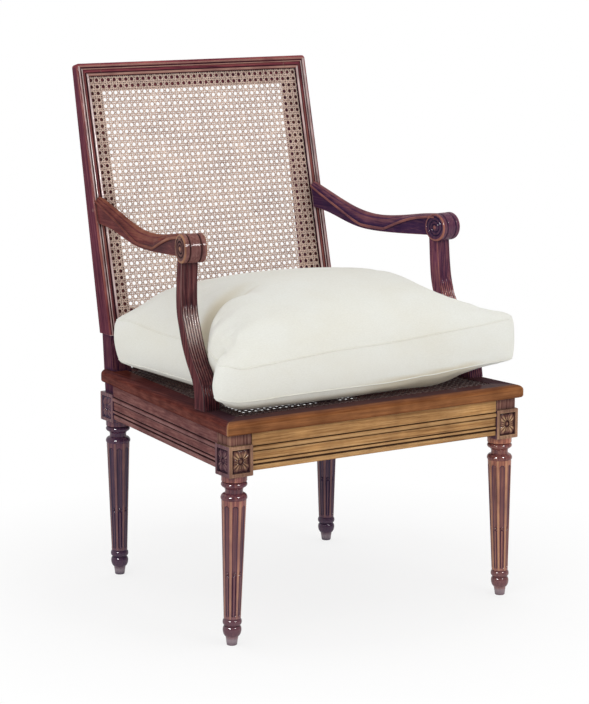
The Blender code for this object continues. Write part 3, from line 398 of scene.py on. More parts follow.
def wood(name, dark, base, light, axis, turn=(0.0, 0.0, 0.0), edge_and_highlight=WEAR_AND_HIGHLIGHT, shade_strength=0.92, gloss=0.30, figured=0.19,
         polish=0.10, low_tint=None, recess=HOLLOW_SHADE, edge=0.85, unseen=None):
    """Polished hardwood: figure and pores along the grain, blotches, edges lightened by use, painted
    highlights, painted shade in hollows, a tint towards the floor and dusty tips of the feet.

    Faces to the right and to the rear, which the photograph doesn't show, may have a tint of their own.
    """
    material, tree, shader, place = new_material(name)
    figure = noise(tree, place, along_axis(axis, GRAIN_ACROSS, GRAIN_ALONG), turn, 5.0, 0.62)
    pores = noise(tree, place, along_axis(axis, PORE_ACROSS, PORE_ALONG), turn, 2.0, 0.5)
    blotch = noise(tree, place, 3 * (BLOTCH,), turn, 2.0, 0.5)
    colour = ramp(tree, figure, (0.5 - figured, dark), (0.50, base), (0.5 + figured, light))
    cloud = ramp(tree, blotch, (0.25, (0.60, 0.56, 0.60)), (0.75, (1.25, 1.22, 1.15)))
    colour = blend_colour(tree, 0.8, colour, cloud, "MULTIPLY")
    pore = spread(tree, pores, 0.36, 0.50, 0.45, 1.0)
    colour = blend_colour(tree, spread(tree, pores, 0.34, 0.46, 0.30, 0.0), colour, dark)
    # A tint that grows towards the floor, then the dusty tips of the feet
    if low_tint:
        height = node(tree, "ShaderNodeSeparateXYZ", {"Vector": place}).outputs["Z"]
        colour = blend_colour(tree, spread(tree, height, *LOW_TINT_HEIGHTS, 0.75, 0.0), colour, low_tint)
        colour = blend_colour(tree, spread(tree, height, *TIP_HEIGHTS, 0.80, 0.0), colour, TIP_DUST)
    # Thin edges lighten as if by use, and faces with a tone below 0 take a painted highlight; both take more
    # coat
    tone = tone_of(tree)
    thin = openness(tree, EDGE_REACH, 6, inside=True)
    worn_and_lit = math_node(tree, "MAXIMUM", spread(tree, thin, 0.35, 0.80, edge, 0.0),
                       spread(tree, tone, -1.0, 0.0, 0.95, 0.0))
    worn_and_lit = math_node(tree, "MULTIPLY", worn_and_lit, spread(tree, blotch, 0.35, 0.60, 0.45, 1.0))
    colour = blend_colour(tree, worn_and_lit, colour, edge_and_highlight)
    # Painted shade: the colour darkens towards the recess colour where other faces are near and where the
    # tone is above 0
    hidden = openness(tree, HOLLOW_SHADE_REACH, 6)
    painted_shade = math_node(tree, "MAXIMUM", spread(tree, hidden, 0.40, 0.95, shade_strength, 0.0),
                     spread(tree, tone, 0.0, 1.0, 0.0, 0.97))
    colour = blend_colour(tree, painted_shade, colour, recess)
    if unseen:
        normal = node(tree, "ShaderNodeNewGeometry").outputs["Normal"]
        facing = node(tree, "ShaderNodeVectorMath", {0: normal, 1: REAR_RIGHT}, operation="DOT_PRODUCT")
        away = spread(tree, facing.outputs["Value"], 0.25, 0.60, 0.0, 1.0)
        colour = blend_colour(tree, away, colour, unseen, "MULTIPLY")
    feed(tree, shader, {
        "Base Color": colour,
        "Roughness": spread(tree, blotch, 0.3, 0.7, gloss - 0.06, gloss + 0.10),
        "Coat Weight": spread(tree, worn_and_lit, 0.0, 0.8, polish, WORN_AND_LIT_COAT),
        "Coat Roughness": COAT_ROUGHNESS,
        "Specular IOR Level": 0.0,
        "Normal": bumped(tree, pore, 0.25, PORE_DEPTH),
    })
    return material


CANE_STREAK = 0.0022
CANE_PATCH = 0.05
CANE_RELIEF = 0.0003
CANE_SHADE = (0.035, 0.020, 0.018)
CANE_SHADE_REACH = 0.003


def cane_look(name, dark, base, light):
    """Aged split cane: tan and brown streaks, with painted shade where the strands cross."""
    material, tree, shader, place = new_material(name)
    streaks = noise(tree, place, 3 * (CANE_STREAK,), detail=3.0)
    patches = noise(tree, place, 3 * (CANE_PATCH,), detail=2.0)
    colour = ramp(tree, streaks, (0.28, dark), (0.50, base), (0.72, light))
    tone = ramp(tree, patches, (0.3, (0.78, 0.74, 0.74)), (0.7, (1.10, 1.08, 1.04)))
    colour = blend_colour(tree, 0.8, colour, tone, "MULTIPLY")
    # Painted shade where other strands are near
    hidden = openness(tree, CANE_SHADE_REACH, 4)
    colour = blend_colour(tree, spread(tree, hidden, 0.2, 0.7, 0.55, 0.0), colour, CANE_SHADE)
    feed(tree, shader, {
        "Base Color": colour,
        "Roughness": spread(tree, streaks, 0.3, 0.7, 0.38, 0.58),
        "Specular IOR Level": 0.15,
        "Normal": bumped(tree, streaks, 0.3, CANE_RELIEF),
    })
    return material


THREAD = 0.0011
CRUMPLE = 0.020
CLOTH_RELIEF = 0.001
# Painted shade on the cotton: tan in hollows, and tan where the mesh's tone marks it
FOLD_SHADE = (0.520, 0.430, 0.260)
FOLD_SHADE_REACH = 0.025
TAN_SHADE = (0.560, 0.460, 0.280)


def cotton_look(name):
    """Plain-woven off-white cotton: threads, slubs, a faint yellowing, soft creases, and painted shade in
    hollows and where the mesh's tone marks it.
    """
    material, tree, shader, place = new_material(name)
    axes = node(tree, "ShaderNodeSeparateXYZ", {"Vector": place}).outputs
    threads = None
    for axis in "XYZ":
        wave = math_node(tree, "SINE", math_node(tree, "MULTIPLY", axes[axis], 2.0 * math.pi / THREAD))
        threads = wave if threads is None else math_node(tree, "ADD", threads, wave)
    slubs = noise(tree, place, (0.0035, 0.0035, 0.0012), detail=4.0)
    age = noise(tree, place, (0.11, 0.11, 0.06), detail=3.0)
    colour = ramp(tree, age, (0.30, (0.790, 0.780, 0.705)), (0.70, (0.815, 0.820, 0.770)))
    tint = ramp(tree, slubs, (0.25, (0.955, 0.950, 0.940)), (0.75, (1.02, 1.02, 1.02)))
    colour = blend_colour(tree, 1.0, colour, tint, "MULTIPLY")
    hidden = openness(tree, FOLD_SHADE_REACH, 8)
    colour = blend_colour(tree, spread(tree, hidden, 0.40, 0.90, 0.48, 0.0), colour, FOLD_SHADE)
    # Painted shade, tan, along the back of the fold and under the right front, where the mesh's tone marks it
    colour = blend_colour(tree, spread(tree, tone_of(tree), 0.0, 1.0, 0.0, 0.55), colour, TAN_SHADE)
    crumple = noise(tree, place, 3 * (CRUMPLE,), detail=3.0)
    height = math_node(tree, "ADD", math_node(tree, "MULTIPLY", threads, 0.05),
                       math_node(tree, "MULTIPLY", crumple, 1.2))
    feed(tree, shader, {
        "Base Color": colour,
        "Roughness": spread(tree, slubs, 0.3, 0.7, 0.82, 0.95),
        "Sheen Weight": 0.25,
        "Sheen Roughness": 0.5,
        "Specular IOR Level": 0.05,
        "Normal": bumped(tree, height, 0.35, CLOTH_RELIEF),
    })
    return material


# Dark, middle and light colour of the figure of some woods
# Some woods below are lit or shaded copies of one mahogany, and so carry painted light and shade
SHADED_RED = ((0.060, 0.020, 0.022), (0.190, 0.082, 0.078), (0.330, 0.170, 0.150))
SHADED_CHERRY = ((0.030, 0.007, 0.008), (0.110, 0.027, 0.021), (0.230, 0.070, 0.050))
MAROON = ((0.046, 0.010, 0.022), (0.236, 0.067, 0.066), (0.410, 0.165, 0.128))
LIT_GOLD = ((0.135, 0.058, 0.024), (0.445, 0.242, 0.096), (0.620, 0.392, 0.185))
DARK = ((0.026, 0.005, 0.009), (0.092, 0.022, 0.028), (0.200, 0.060, 0.056))
SHADED_UMBER = ((0.026, 0.010, 0.034), (0.128, 0.049, 0.078), (0.270, 0.128, 0.110))
LEG_RED = ((0.065, 0.020, 0.022), (0.245, 0.078, 0.072), (0.440, 0.180, 0.128))
LIT_LEG_GOLD = ((0.090, 0.030, 0.022), (0.390, 0.134, 0.084), (0.590, 0.268, 0.145))

# Colours of edges lightened by use and of painted highlights, and of the painted shade in recesses
CREAM = (0.720, 0.590, 0.570)
BRASS = (0.390, 0.232, 0.180)
OCHRE = (0.700, 0.450, 0.240)
EMBER = (0.450, 0.170, 0.100)
ROSE = (0.260, 0.130, 0.125)
PALE = (0.600, 0.480, 0.420)
DUSK = (0.045, 0.027, 0.037)
INDIGO = (0.030, 0.018, 0.055)

# Tints of the faces that the photograph doesn't show
LEG_BROWN = (1.05, 1.00, 0.75)
BACK_BROWN = (0.74, 0.98, 0.78)
ARM_BROWN = (1.15, 0.95, 0.58)

# Turn of the grain that follows the back's slope
RAKED = (-BACK_RAKE, 0.0, 0.0)

looks = {
    # Lit copies, golden: the front rail and the front of the seat frame
    "front_rail": wood("lit_golden_wood_x", *LIT_GOLD, "X", edge_and_highlight=(0.540, 0.340, 0.160), shade_strength=0.30, figured=0.26,
                       recess=(0.030, 0.012, 0.010)),
    "front_frame": wood("lit_nose_wood_x", (0.085, 0.028, 0.012), (0.240, 0.090, 0.032), (0.360, 0.155, 0.062),
                        "X", edge_and_highlight=(0.400, 0.200, 0.085), shade_strength=0.40, figured=0.28, recess=DUSK),
    # Shaded copies, red: the sides of the seat frame and the side rails; the rear rail shares the shaded red
    "side_frame": wood("shaded_cherry_wood_y", *SHADED_CHERRY, "Y", edge_and_highlight=(0.230, 0.080, 0.056), shade_strength=0.60, polish=0.03,
                       figured=0.34, recess=DUSK),
    "side_rail": wood("shaded_red_wood_y", *SHADED_RED, "Y", edge_and_highlight=ROSE, shade_strength=0.45, polish=0.03, figured=0.36,
                      recess=(0.030, 0.012, 0.015)),
    "rear_rail": wood("red_wood_x", *SHADED_RED, "X"),
    "front_leg": wood("leg_wood_z", *LEG_RED, "Z", edge_and_highlight=(0.540, 0.290, 0.170), polish=0.70, shade_strength=0.70,
                      low_tint=(0.205, 0.100, 0.118), recess=(0.052, 0.018, 0.044)),
    # Lit copy of the legs' wood for the right front leg
    "right_front_leg": wood("lit_golden_leg_wood_z", *LIT_LEG_GOLD, "Z", edge_and_highlight=(0.640, 0.360, 0.190), polish=0.70,
                            shade_strength=0.60, low_tint=(0.260, 0.115, 0.110), recess=(0.075, 0.026, 0.052)),
    "front_die": wood("lit_die_wood_z", (0.070, 0.027, 0.024), (0.200, 0.094, 0.076), (0.345, 0.195, 0.140), "Z",
                      edge_and_highlight=OCHRE, recess=(0.018, 0.008, 0.014)),
    # Shaded copy of the die's wood for the front dies' sides
    "die_flank": wood("shaded_die_flank_wood_z", (0.040, 0.016, 0.023), (0.130, 0.060, 0.080), (0.230, 0.120, 0.130),
                      "Z", edge_and_highlight=(0.340, 0.200, 0.180), recess=(0.018, 0.009, 0.020)),
    # Shaded copy, violet, for the rear legs
    "rear_leg": wood("shaded_rear_leg_wood_z", *SHADED_UMBER, "Z", edge_and_highlight=(0.280, 0.140, 0.110), polish=0.55,
                     low_tint=(0.110, 0.054, 0.085), recess=INDIGO, unseen=LEG_BROWN),
    "stile": wood("maroon_wood_slope", *MAROON, "Z", RAKED, CREAM, polish=0.05, unseen=BACK_BROWN),
    # Shaded copy of the stile's wood for its flanks
    "stile_flank": wood("shaded_purple_wood_slope", (0.036, 0.008, 0.026), (0.134, 0.037, 0.060),
                        (0.270, 0.095, 0.098), "Z", RAKED, ROSE, polish=0.05, figured=0.30,
                        unseen=BACK_BROWN),
    # Shaded copy, violet, for the posts
    "post": wood("shaded_post_wood_z", (0.026, 0.008, 0.028), (0.102, 0.033, 0.056), (0.200, 0.080, 0.085), "Z",
                 polish=0.03, recess=INDIGO, unseen=LEG_BROWN),
    "crest": wood("maroon_wood_x", (0.050, 0.009, 0.024), (0.232, 0.052, 0.068), (0.370, 0.118, 0.106), "X",
                  edge_and_highlight=BRASS, polish=0.04, recess=(0.045, 0.020, 0.028), unseen=BACK_BROWN),
    "arm": wood("dark_wood_y", (0.050, 0.011, 0.012), (0.150, 0.036, 0.036), (0.280, 0.085, 0.065), "Y",
                edge_and_highlight=(0.420, 0.175, 0.085), polish=0.12, figured=0.38, recess=DUSK, edge=0.50),
    "scroll": wood("scroll_wood_z", (0.070, 0.022, 0.022), (0.228, 0.102, 0.092), (0.410, 0.230, 0.195), "Z",
                   polish=0.14, figured=0.42),
    # Shaded copies, violet, of the arm and its scroll for the right side
    "right_arm": wood("shaded_violet_wood_y", (0.022, 0.009, 0.040), (0.094, 0.036, 0.086), (0.270, 0.110, 0.116),
                      "Y", edge_and_highlight=EMBER, figured=0.34, recess=(0.018, 0.011, 0.052), unseen=ARM_BROWN),
    "right_scroll": wood("shaded_violet_scroll_z", (0.026, 0.010, 0.038), (0.122, 0.046, 0.084),
                         (0.300, 0.135, 0.136), "Z", edge_and_highlight=EMBER, polish=0.30, figured=0.42,
                         recess=(0.018, 0.009, 0.042), unseen=ARM_BROWN),
    "support": wood("dark_wood_z", *DARK, "Z", edge_and_highlight=PALE, shade_strength=0.70, polish=0.12, edge=0.15,
                    recess=(0.018, 0.010, 0.016)),
    # Shaded copy, violet, of the support for the right side
    "right_support": wood("shaded_violet_wood_z", (0.028, 0.009, 0.034), (0.160, 0.053, 0.095),
                          (0.330, 0.135, 0.126), "Z", edge_and_highlight=EMBER, recess=(0.020, 0.010, 0.048),
                          unseen=ARM_BROWN),
    "peg": wood("peg_wood", (0.050, 0.014, 0.018), (0.140, 0.042, 0.048), (0.220, 0.080, 0.080), "X",
                gloss=0.5),
    "cane": cane_look("pale_cane", (0.240, 0.140, 0.110), (0.630, 0.465, 0.390), (0.860, 0.730, 0.650)),
    # Shaded copy of the cane for the seat, which lies under the cushion
    "seat_cane": cane_look("shaded_dark_cane", (0.024, 0.013, 0.016), (0.085, 0.050, 0.052), (0.260, 0.190, 0.160)),
    "cotton": cotton_look("off_white_cotton"),
}


# Meshes
def skin(rings):
    """Points and faces of a closed solid through rings with the same number of points."""
    count = len(rings[0])
    points = [point for ring in rings for point in ring]
    faces = []
    for row in range(len(rings) - 1):
        for index in range(count):
            a = row * count + index
            b = row * count + (index + 1) % count
            faces.append((a, b, b + count, a + count))
    faces.append(tuple(range(count)))
    faces.append(tuple(range(len(points) - count, len(points))))
    return points, faces


def toned_skin(rings):
    """Points, faces and tones of a closed solid through rings of points and their tones."""
    return (*skin([ring for ring, _ in rings]), np.concatenate([tones for _, tones in rings]))


def set_tones(mesh, tones):
    """Give each point of a mesh its tone, from -1, a painted highlight, to 1, painted shade."""
    layer = mesh.attributes.new(TONE, "FLOAT", "POINT")
    layer.data.foreach_set("value", np.array(tones, dtype=np.float32))


def tidy_mesh(name, points, faces, tones=None, merged=True):
    """Mesh with its doubled points merged, if asked for, and its faces pointing out."""
    mesh = bpy.data.meshes.new(name)
    mesh.from_pydata([tuple(point) for point in points], [], faces)
    if tones is not None:
        set_tones(mesh, tones)
    shape = bmesh.new()
    shape.from_mesh(mesh)
    if merged:
        bmesh.ops.remove_doubles(shape, verts=shape.verts, dist=MERGE)
        bmesh.ops.dissolve_degenerate(shape, edges=shape.edges, dist=MERGE)
    bmesh.ops.recalc_face_normals(shape, faces=shape.faces)
    shape.to_mesh(mesh)
    shape.free()
    return mesh


def placed(name, data):
    """Object that is linked into the scene."""
    made = bpy.data.objects.new(name, data)
    bpy.context.scene.collection.objects.link(made)
    return made


def add(name, mesh, look, body="chair", stands_for=(), others=(), which=None):
    """Put a mesh in the scene as a piece that rides on a body, may stand for solids and may have other looks.

    which gives the number of the look of a face, where 0 is the main one.
    """
    mesh.shade_smooth()
    mesh.set_sharp_from_angle(angle=SHARP_ANGLE)
    piece = placed(name, mesh)
    mesh.materials.clear()
    for word in (look, *others):
        mesh.materials.append(looks[word])
    if others:
        mesh.polygons.foreach_set("material_index", [which(face) for face in mesh.polygons])
    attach(piece, body)
    if stands_for:
        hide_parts(*stands_for)
    return piece


def moulding(name, ending, rings, outline, look):
    """Piece whose rings share one outline of places and tones, and which stands for a solid."""
    tones = len(rings) * [tone for _, _, tone in outline]
    return add(name + ending, tidy_mesh(name, *skin(rings), tones), look, stands_for=(name,))


def applied(piece):
    """Mesh of a piece with its modifiers applied."""
    graph = bpy.context.evaluated_depsgraph_get()
    return bpy.data.meshes.new_from_object(piece.evaluated_get(graph))


def cut_box(mesh, low, high):
    """Mesh with a box between two corners cut away."""
    size = Vector(high) - Vector(low)
    shape = bmesh.new()
    bmesh.ops.create_cube(shape, size=1.0, matrix=Matrix.Translation((Vector(low) + Vector(high)) / 2.0)
                          @ Matrix.Diagonal((*size, 1.0)))
    cutter_mesh = bpy.data.meshes.new("cutter")
    shape.to_mesh(cutter_mesh)
    shape.free()
    cutter = placed("cutter", cutter_mesh)
    blank = placed("blank", mesh)
    step = blank.modifiers.new("cut", "BOOLEAN")
    step.operation = "DIFFERENCE"
    step.object = cutter
    result = applied(blank)
    for item in (cutter, blank):
        bpy.data.objects.remove(item, do_unlink=True)
    return result


# Turned and fluted legs
def leg_profile():
    """Radius and height of a leg below and above its fluted shaft, from the floor up."""
    below = [
        (0.0079, 0.0),
        (0.0086, EDGE),
        (0.0101, 0.0118),
        *arc((0.0080, 0.0262), (0.0074, 0.0125), -70.0, 0.0, 9),
        *arc((0.0124, 0.0262), (0.0030, 0.0064), 12.0, 85.0, 7),
        (0.0121, 0.0331),
        (0.0121, 0.0339),
        *arc((0.0130, 0.0393), (0.0028, 0.0051), -75.0, 75.0, 10),
        (0.0134, 0.0447),
        (SHAFT_BOTTOM_RADIUS, SHAFT_BOTTOM),
    ]
    above = [
        (SHAFT_TOP_RADIUS, SHAFT_TOP),
        (0.0216, 0.2446),
        (0.0219, 0.2462),
        *arc((0.0148, 0.2462), (0.0071, 0.0076), 8.0, 82.0, 9),
        (0.0148, 0.2543),
        *arc((0.0190, 0.2578), (0.0045, 0.0058), 195.0, 115.0, 7),
        *arc((0.0166, 0.2684), (0.0049, 0.0046), -75.0, 80.0, 12),
        (0.0172, 0.2733),
        (0.0206, 0.2737),
        (0.0211, 0.2743),
        (0.0211, DIE_BOTTOM + EDGE),
    ]
    return below, above


def flute_half(z):
    """Half the width of a flute at a height."""
    share = (z - SHAFT_BOTTOM) / (SHAFT_TOP - SHAFT_BOTTOM)
    return FLUTE_BOTTOM_HALF + (FLUTE_TOP_HALF - FLUTE_BOTTOM_HALF) * share


def flute_depth(x, z):
    """Depth of a flute at distances from its middle: hollow above, filled by a rod and a pearl below."""
    half = flute_half(z)
    past_end = max(z - (FLUTE_TOP - half), FLUTE_FOOT + half - z, 0.0)
    depth = FLUTE_SINK * np.sqrt(np.clip(half ** 2 - x ** 2 - past_end ** 2, 0.0, None))
    rod = ROD_SHARE * half
    for radius, past in ((rod, max(z - (ROD_TOP - rod), 0.0)),
                         (PEARL_RADIUS, z - (ROD_TOP + PEARL_RADIUS))):
        crest = np.sqrt(np.clip(radius ** 2 - x ** 2 - past ** 2, 0.0, None))
        filled = np.where(crest > 0.0, ROD_SINK + radius - crest, np.inf)
        depth = np.minimum(depth, filled)
    return depth


def shaft_heights():
    """Heights of the rings of a shaft, close together where the flutes end and the pearls sit."""
    spans = ((SHAFT_BOTTOM + 0.001, FLUTE_FOOT - 0.0006, 3), (FLUTE_FOOT, FLUTE_FOOT + 0.004, 8),
             (FLUTE_FOOT + 0.007, ROD_TOP - 0.006, 18), (ROD_TOP - 0.004, ROD_TOP + 0.006, 20),
             (ROD_TOP + 0.010, FLUTE_TOP - 0.008, 24), (FLUTE_TOP - 0.006, FLUTE_TOP + 0.0004, 12),
             (FLUTE_TOP + 0.002, SHAFT_TOP - 0.001, 4))
    return [z for low, high, count in spans for z in np.linspace(low, high, count)]


def leg_ring(radius, z, fluted):
    """Ring of a leg with its columns gathered at the edges of the flutes."""
    width = flute_half(min(max(z, SHAFT_BOTTOM), SHAFT_TOP))
    shaft = SHAFT_BOTTOM_RADIUS + (SHAFT_TOP_RADIUS - SHAFT_BOTTOM_RADIUS) * min(
        max((z - SHAFT_BOTTOM) / (SHAFT_TOP - SHAFT_BOTTOM), 0.0), 1.0)
    half_angle = width / shaft
    sector = 2.0 * math.pi / FLUTE_COUNT
    inside = np.linspace(-half_angle, half_angle, FLUTE_COLUMNS + 1)
    outside = np.linspace(half_angle, sector - half_angle, FILLET_COLUMNS + 2)[1:-1]
    depth = flute_depth(inside * shaft, z) if fluted else np.zeros(len(inside))
    radii = np.concatenate((radius - depth, np.full(len(outside), radius)))
    angles = np.concatenate((inside, outside))
    ring = []
    for index in range(FLUTE_COUNT):
        turned = angles + sector * (index + 0.5)
        ring += [(r * math.cos(a), r * math.sin(a), z) for r, a in zip(radii, turned)]
    # Painted shade in the flutes and in a line along their edges, and a painted highlight on the fillets
    sunk = depth / (FLUTE_SINK * width)
    sunk = FLUTE_SHADE * sunk + FLUTE_LINE * bell(sunk - 0.5, FLUTE_LINE_WIDTH)
    plain = np.full(len(angles), COLLAR_TONE if TIP_HEIGHTS[1] < z < NECK_HEIGHT else 0.0)
    tones = np.concatenate((sunk, np.full(len(outside), -FILLET_HIGHLIGHT))) if fluted else plain
    return ring, np.tile(tones, FLUTE_COUNT)


def leg_turning(name, side, centre_x, centre_y, splay, look, node_name):
    """Turned and fluted leg below its die, with its foot splayed outward."""
    below, above = leg_profile()
    rings = [leg_ring(radius, z, False) for radius, z in below]
    slope = (SHAFT_TOP_RADIUS - SHAFT_BOTTOM_RADIUS) / (SHAFT_TOP - SHAFT_BOTTOM)
    for z in shaft_heights():
        rings.append(leg_ring(SHAFT_BOTTOM_RADIUS + slope * (z - SHAFT_BOTTOM), z, True))
    rings += [leg_ring(radius, z, False) for radius, z in above]
    points, faces, tones = toned_skin(rings)
    foot_x = side * (centre_x + splay)
    moved = [(x + foot_x - side * splay * z / DIE_BOTTOM, y + centre_y, z) for x, y, z in points]
    return add(name, tidy_mesh(name, moved, faces, tones), look, stands_for=(node_name,))


# Carved dies, with petals of a first direction, a length, a height and a sharpness
PETALS = ((0.0, 0.0150, 0.0031, 1.3), (math.pi / 4.0, 0.0195, 0.0036, 1.1))


def rosette(u, v):
    """Relief of a die's face, from 0 at its border down to the floor of its panel."""
    half = np.array((DIE_SIZE / 2.0 - PANEL_BORDER, (DIE_TOP - DIE_BOTTOM) / 2.0 - PANEL_BORDER))
    inside = np.minimum(half[0] - np.abs(u), half[1] - np.abs(v))
    floor = -PANEL_DEPTH * smooth(inside / PANEL_SLOPE)
    reach = np.hypot(u, v * half[0] / half[1])
    angle = np.arctan2(v, u)
    leaf = 0.0
    for first, length, height, power in PETALS:
        along = np.clip((reach - PETAL_ROOT) / (length - PETAL_ROOT), 0.0, 1.0)
        swell = np.sin(math.pi * along ** 0.75) ** 0.6
        turn = np.abs(np.cos(2.0 * (angle - first)))
        lobe = turn ** (power * 2.2)
        vein = 1.0 - 0.45 * np.exp(-((1.0 - turn) / 0.012))
        leaf = np.maximum(leaf, height * swell * np.clip(lobe * 1.35, 0.0, 1.0) * vein)
    button = BUTTON_HEIGHT * dome(reach / BUTTON_RADIUS)
    ring = bell(reach - BUTTON_RING, BUTTON_RING_WIDTH)
    raised = np.maximum(leaf * (1.0 - ring), button)
    room = smooth((inside - PANEL_SLOPE) / PANEL_SLOPE)
    return np.minimum(floor + raised * room, 0.0)


def die(name, side, centre_x, centre_y, facing, look, node_name, flank):
    """Square die with a carved rosette on its outer side and on its front or rear face."""
    half = DIE_SIZE / 2.0
    columns = np.linspace(-half + EDGE, half - EDGE, CARVING_COLUMNS)
    sides = (((0.0, -1.0), facing < 0), ((1.0, 0.0), side > 0),
             ((0.0, 1.0), facing > 0), ((-1.0, 0.0), side < 0))
    middle = (DIE_TOP + DIE_BOTTOM) / 2.0
    heights = [DIE_BOTTOM, *np.linspace(DIE_BOTTOM + EDGE, DIE_TOP - EDGE, CARVING_ROWS), DIE_TOP]
    rings = []
    tones = []
    for z in heights:
        draw = EDGE if z in (DIE_BOTTOM, DIE_TOP) else 0.0
        ring = []
        for (nx, ny), carved in sides:
            places = columns if carved else columns[[0, -1]]
            relief = rosette(places, np.full(len(places), z - middle)) if carved else np.zeros(len(places))
            for along, depth in zip(places, relief):
                out = half - draw + depth
                run = along * (half - draw) / half
                ring.append((side * centre_x + nx * out - ny * run, centre_y + ny * out + nx * run, z))
            # Tones: painted shade that deepens with the carving, and painted highlights on the petals, the
            # border and the corners
            painted_highlight = np.where(relief < 0.0, PETAL_HIGHLIGHT, BORDER_HIGHLIGHT if carved else 0.0)
            tones += list(-PANEL_TONE * relief / PANEL_DEPTH - painted_highlight) + [-PETAL_HIGHLIGHT]
            corner = half - draw - EDGE * 0.3
            ring.append((side * centre_x + (nx - ny) * corner, centre_y + (ny + nx) * corner, z))
        rings.append(ring)

    # Faces on the die's sides take the flank look, which on the front dies is a shaded copy of the wood
    def which(face):
        return int(abs(face.center.x - side * centre_x) > abs(face.center.y - centre_y))

    return add(name, tidy_mesh(name, *skin(rings), tones), look, "chair", (node_name,), (flank,), which)


def eased_ring(x0, x1, y0, y1, z):
    """Level ring round a rectangle with eased corners."""
    ring = []
    for cx, cy, start in ((x1 - EDGE, y0 + EDGE, -90.0), (x1 - EDGE, y1 - EDGE, 0.0),
                          (x0 + EDGE, y1 - EDGE, 90.0), (x0 + EDGE, y0 + EDGE, 180.0)):
        ring += [(x, y, z) for x, y in arc((cx, cy), (EDGE, EDGE), start, start + 90.0, 4)]
    return ring


def rounded_box(low, high):
    """Points and faces of a box with eased edges."""
    levels = ((low[2], EDGE), (low[2] + EDGE, 0.0), (high[2] - EDGE, 0.0), (high[2], EDGE))
    return skin([eased_ring(low[0] + draw, high[0] - draw, low[1] + draw, high[1] - draw, z)
                 for z, draw in levels])


for side, word in SIDES:
    front_x = FRONT_LEG_SPREAD / 2.0
    rear_x = REAR_LEG_SPREAD / 2.0
    # The right front leg takes the lit copy of the legs' wood
    leg_look = "right_front_leg" if side > 0 else "front_leg"
    leg_turning(f"front_{word}_leg_turning", side, front_x, FRONT_LEG_Y, FRONT_LEG_SPLAY, leg_look,
                f"front_{word}_leg")
    leg_turning(f"rear_{word}_leg_turning", side, rear_x, REAR_LEG_Y, 0.0, "rear_leg", f"rear_{word}_leg")
    die(f"front_{word}_die", side, front_x, FRONT_LEG_Y, -1, "front_die", f"front_{word}_leg", "die_flank")
    die(f"rear_{word}_die", side, rear_x, REAR_LEG_Y, 1, "rear_leg", f"rear_{word}_leg", "rear_leg")
    inner = side * (front_x - DIE_SIZE / 2.0 + EDGE)
    outer = side * (front_x + DIE_SIZE / 2.0 - BLOCK_INSET)
    points, faces = rounded_box(
        (min(inner, outer), FRONT_LEG_Y - DIE_SIZE / 2.0 + BLOCK_INSET, DIE_TOP - EDGE),
        (max(inner, outer), FRONT_LEG_Y + DIE_SIZE / 2.0 - EDGE, RAIL_TOP))
    add(f"front_{word}_block", tidy_mesh("block", points, faces), "front_die",
        stands_for=(f"front_{word}_leg",))


# Moulded seat rails
def crested(points, tone):
    """Points of a bead with a painted highlight that is full on its crest, and painted shade at its ends."""
    shares = np.linspace(-1.0, 1.0, len(points))
    return [(*point, tone + (0.9 - tone) * abs(share) ** 3) for point, share in zip(points, shares)]


def rail_profile():
    """Outline of a moulded rail: distance in from its face, height and tone, which paints highlights on the
    beads and shade in the quirks.
    """
    return [
        (EDGE, RAIL_TOP, 0.2),
        (0.0, RAIL_TOP - EDGE, 0.0),
        (0.0, 0.3330, 0.0),
        (0.0, 0.3316, -0.4),
        (0.0022, 0.3309, 0.9),
        (0.0022, 0.3300, 0.9),
        *crested(arc((0.0004, 0.3262), (-0.0029, 0.0036), 80.0, -80.0, 12), -0.5),
        (0.0022, 0.3224, 0.9),
        (0.0022, 0.3213, 0.9),
        (0.0006, 0.3206, -0.4),
        (0.0006, 0.3190, 0.0),
        (0.0006, 0.3096, 0.0),
        (0.0006, 0.3080, -0.4),
        (0.0022, 0.3074, 0.9),
        (0.0022, 0.3064, 0.9),
        *crested(arc((0.0004, 0.3038), (-0.0019, 0.0023), 80.0, -80.0, 9), -0.5),
        (0.0030, 0.3012, 0.95),
        (0.0030, 0.2986, 0.95),
        (0.0002, 0.2980, -0.5),
        (0.0002, RAIL_BOTTOM + EDGE, 0.0),
        (0.0010, RAIL_BOTTOM, 0.0),
        (RAIL_THICKNESS - EDGE, RAIL_BOTTOM, 0.0),
        (RAIL_THICKNESS, RAIL_BOTTOM + EDGE, 0.0),
        (RAIL_THICKNESS, RAIL_TOP, 0.0),
    ]


def cross_rail(name, centre_y, leg_x, facing, look):
    """Front or rear rail between two legs."""
    face = centre_y + facing * RAIL_FACE
    end = leg_x - DIE_SIZE / 2.0 - GAP
    rings = [[(x, face - facing * inward, z) for inward, z, _ in rail_profile()] for x in (-end, end)]
    return moulding(name, "_moulded", rings, rail_profile(), look)


def side_rail(name, side):
    """Rail along one side, which follows the seat's taper."""
    rings = []
    for y in (FRONT_LEG_Y + DIE_SIZE / 2.0 + GAP, REAR_LEG_Y - DIE_SIZE / 2.0 - GAP):
        face = FRONT_LEG_SPREAD / 2.0 - SIDE_SLOPE * (y - FRONT_LEG_Y) + RAIL_FACE
        rings.append([(side * (face - inward), y, z) for inward, z, _ in rail_profile()])
    return moulding(name, "_moulded", rings, rail_profile(), "side_rail")


cross_rail("front_rail", FRONT_LEG_Y, FRONT_LEG_SPREAD / 2.0, -1, "front_rail")
cross_rail("rear_rail", REAR_LEG_Y, REAR_LEG_SPREAD / 2.0, 1, "rear_rail")
for side, word in SIDES:
    side_rail(f"{word}_side_rail", side)


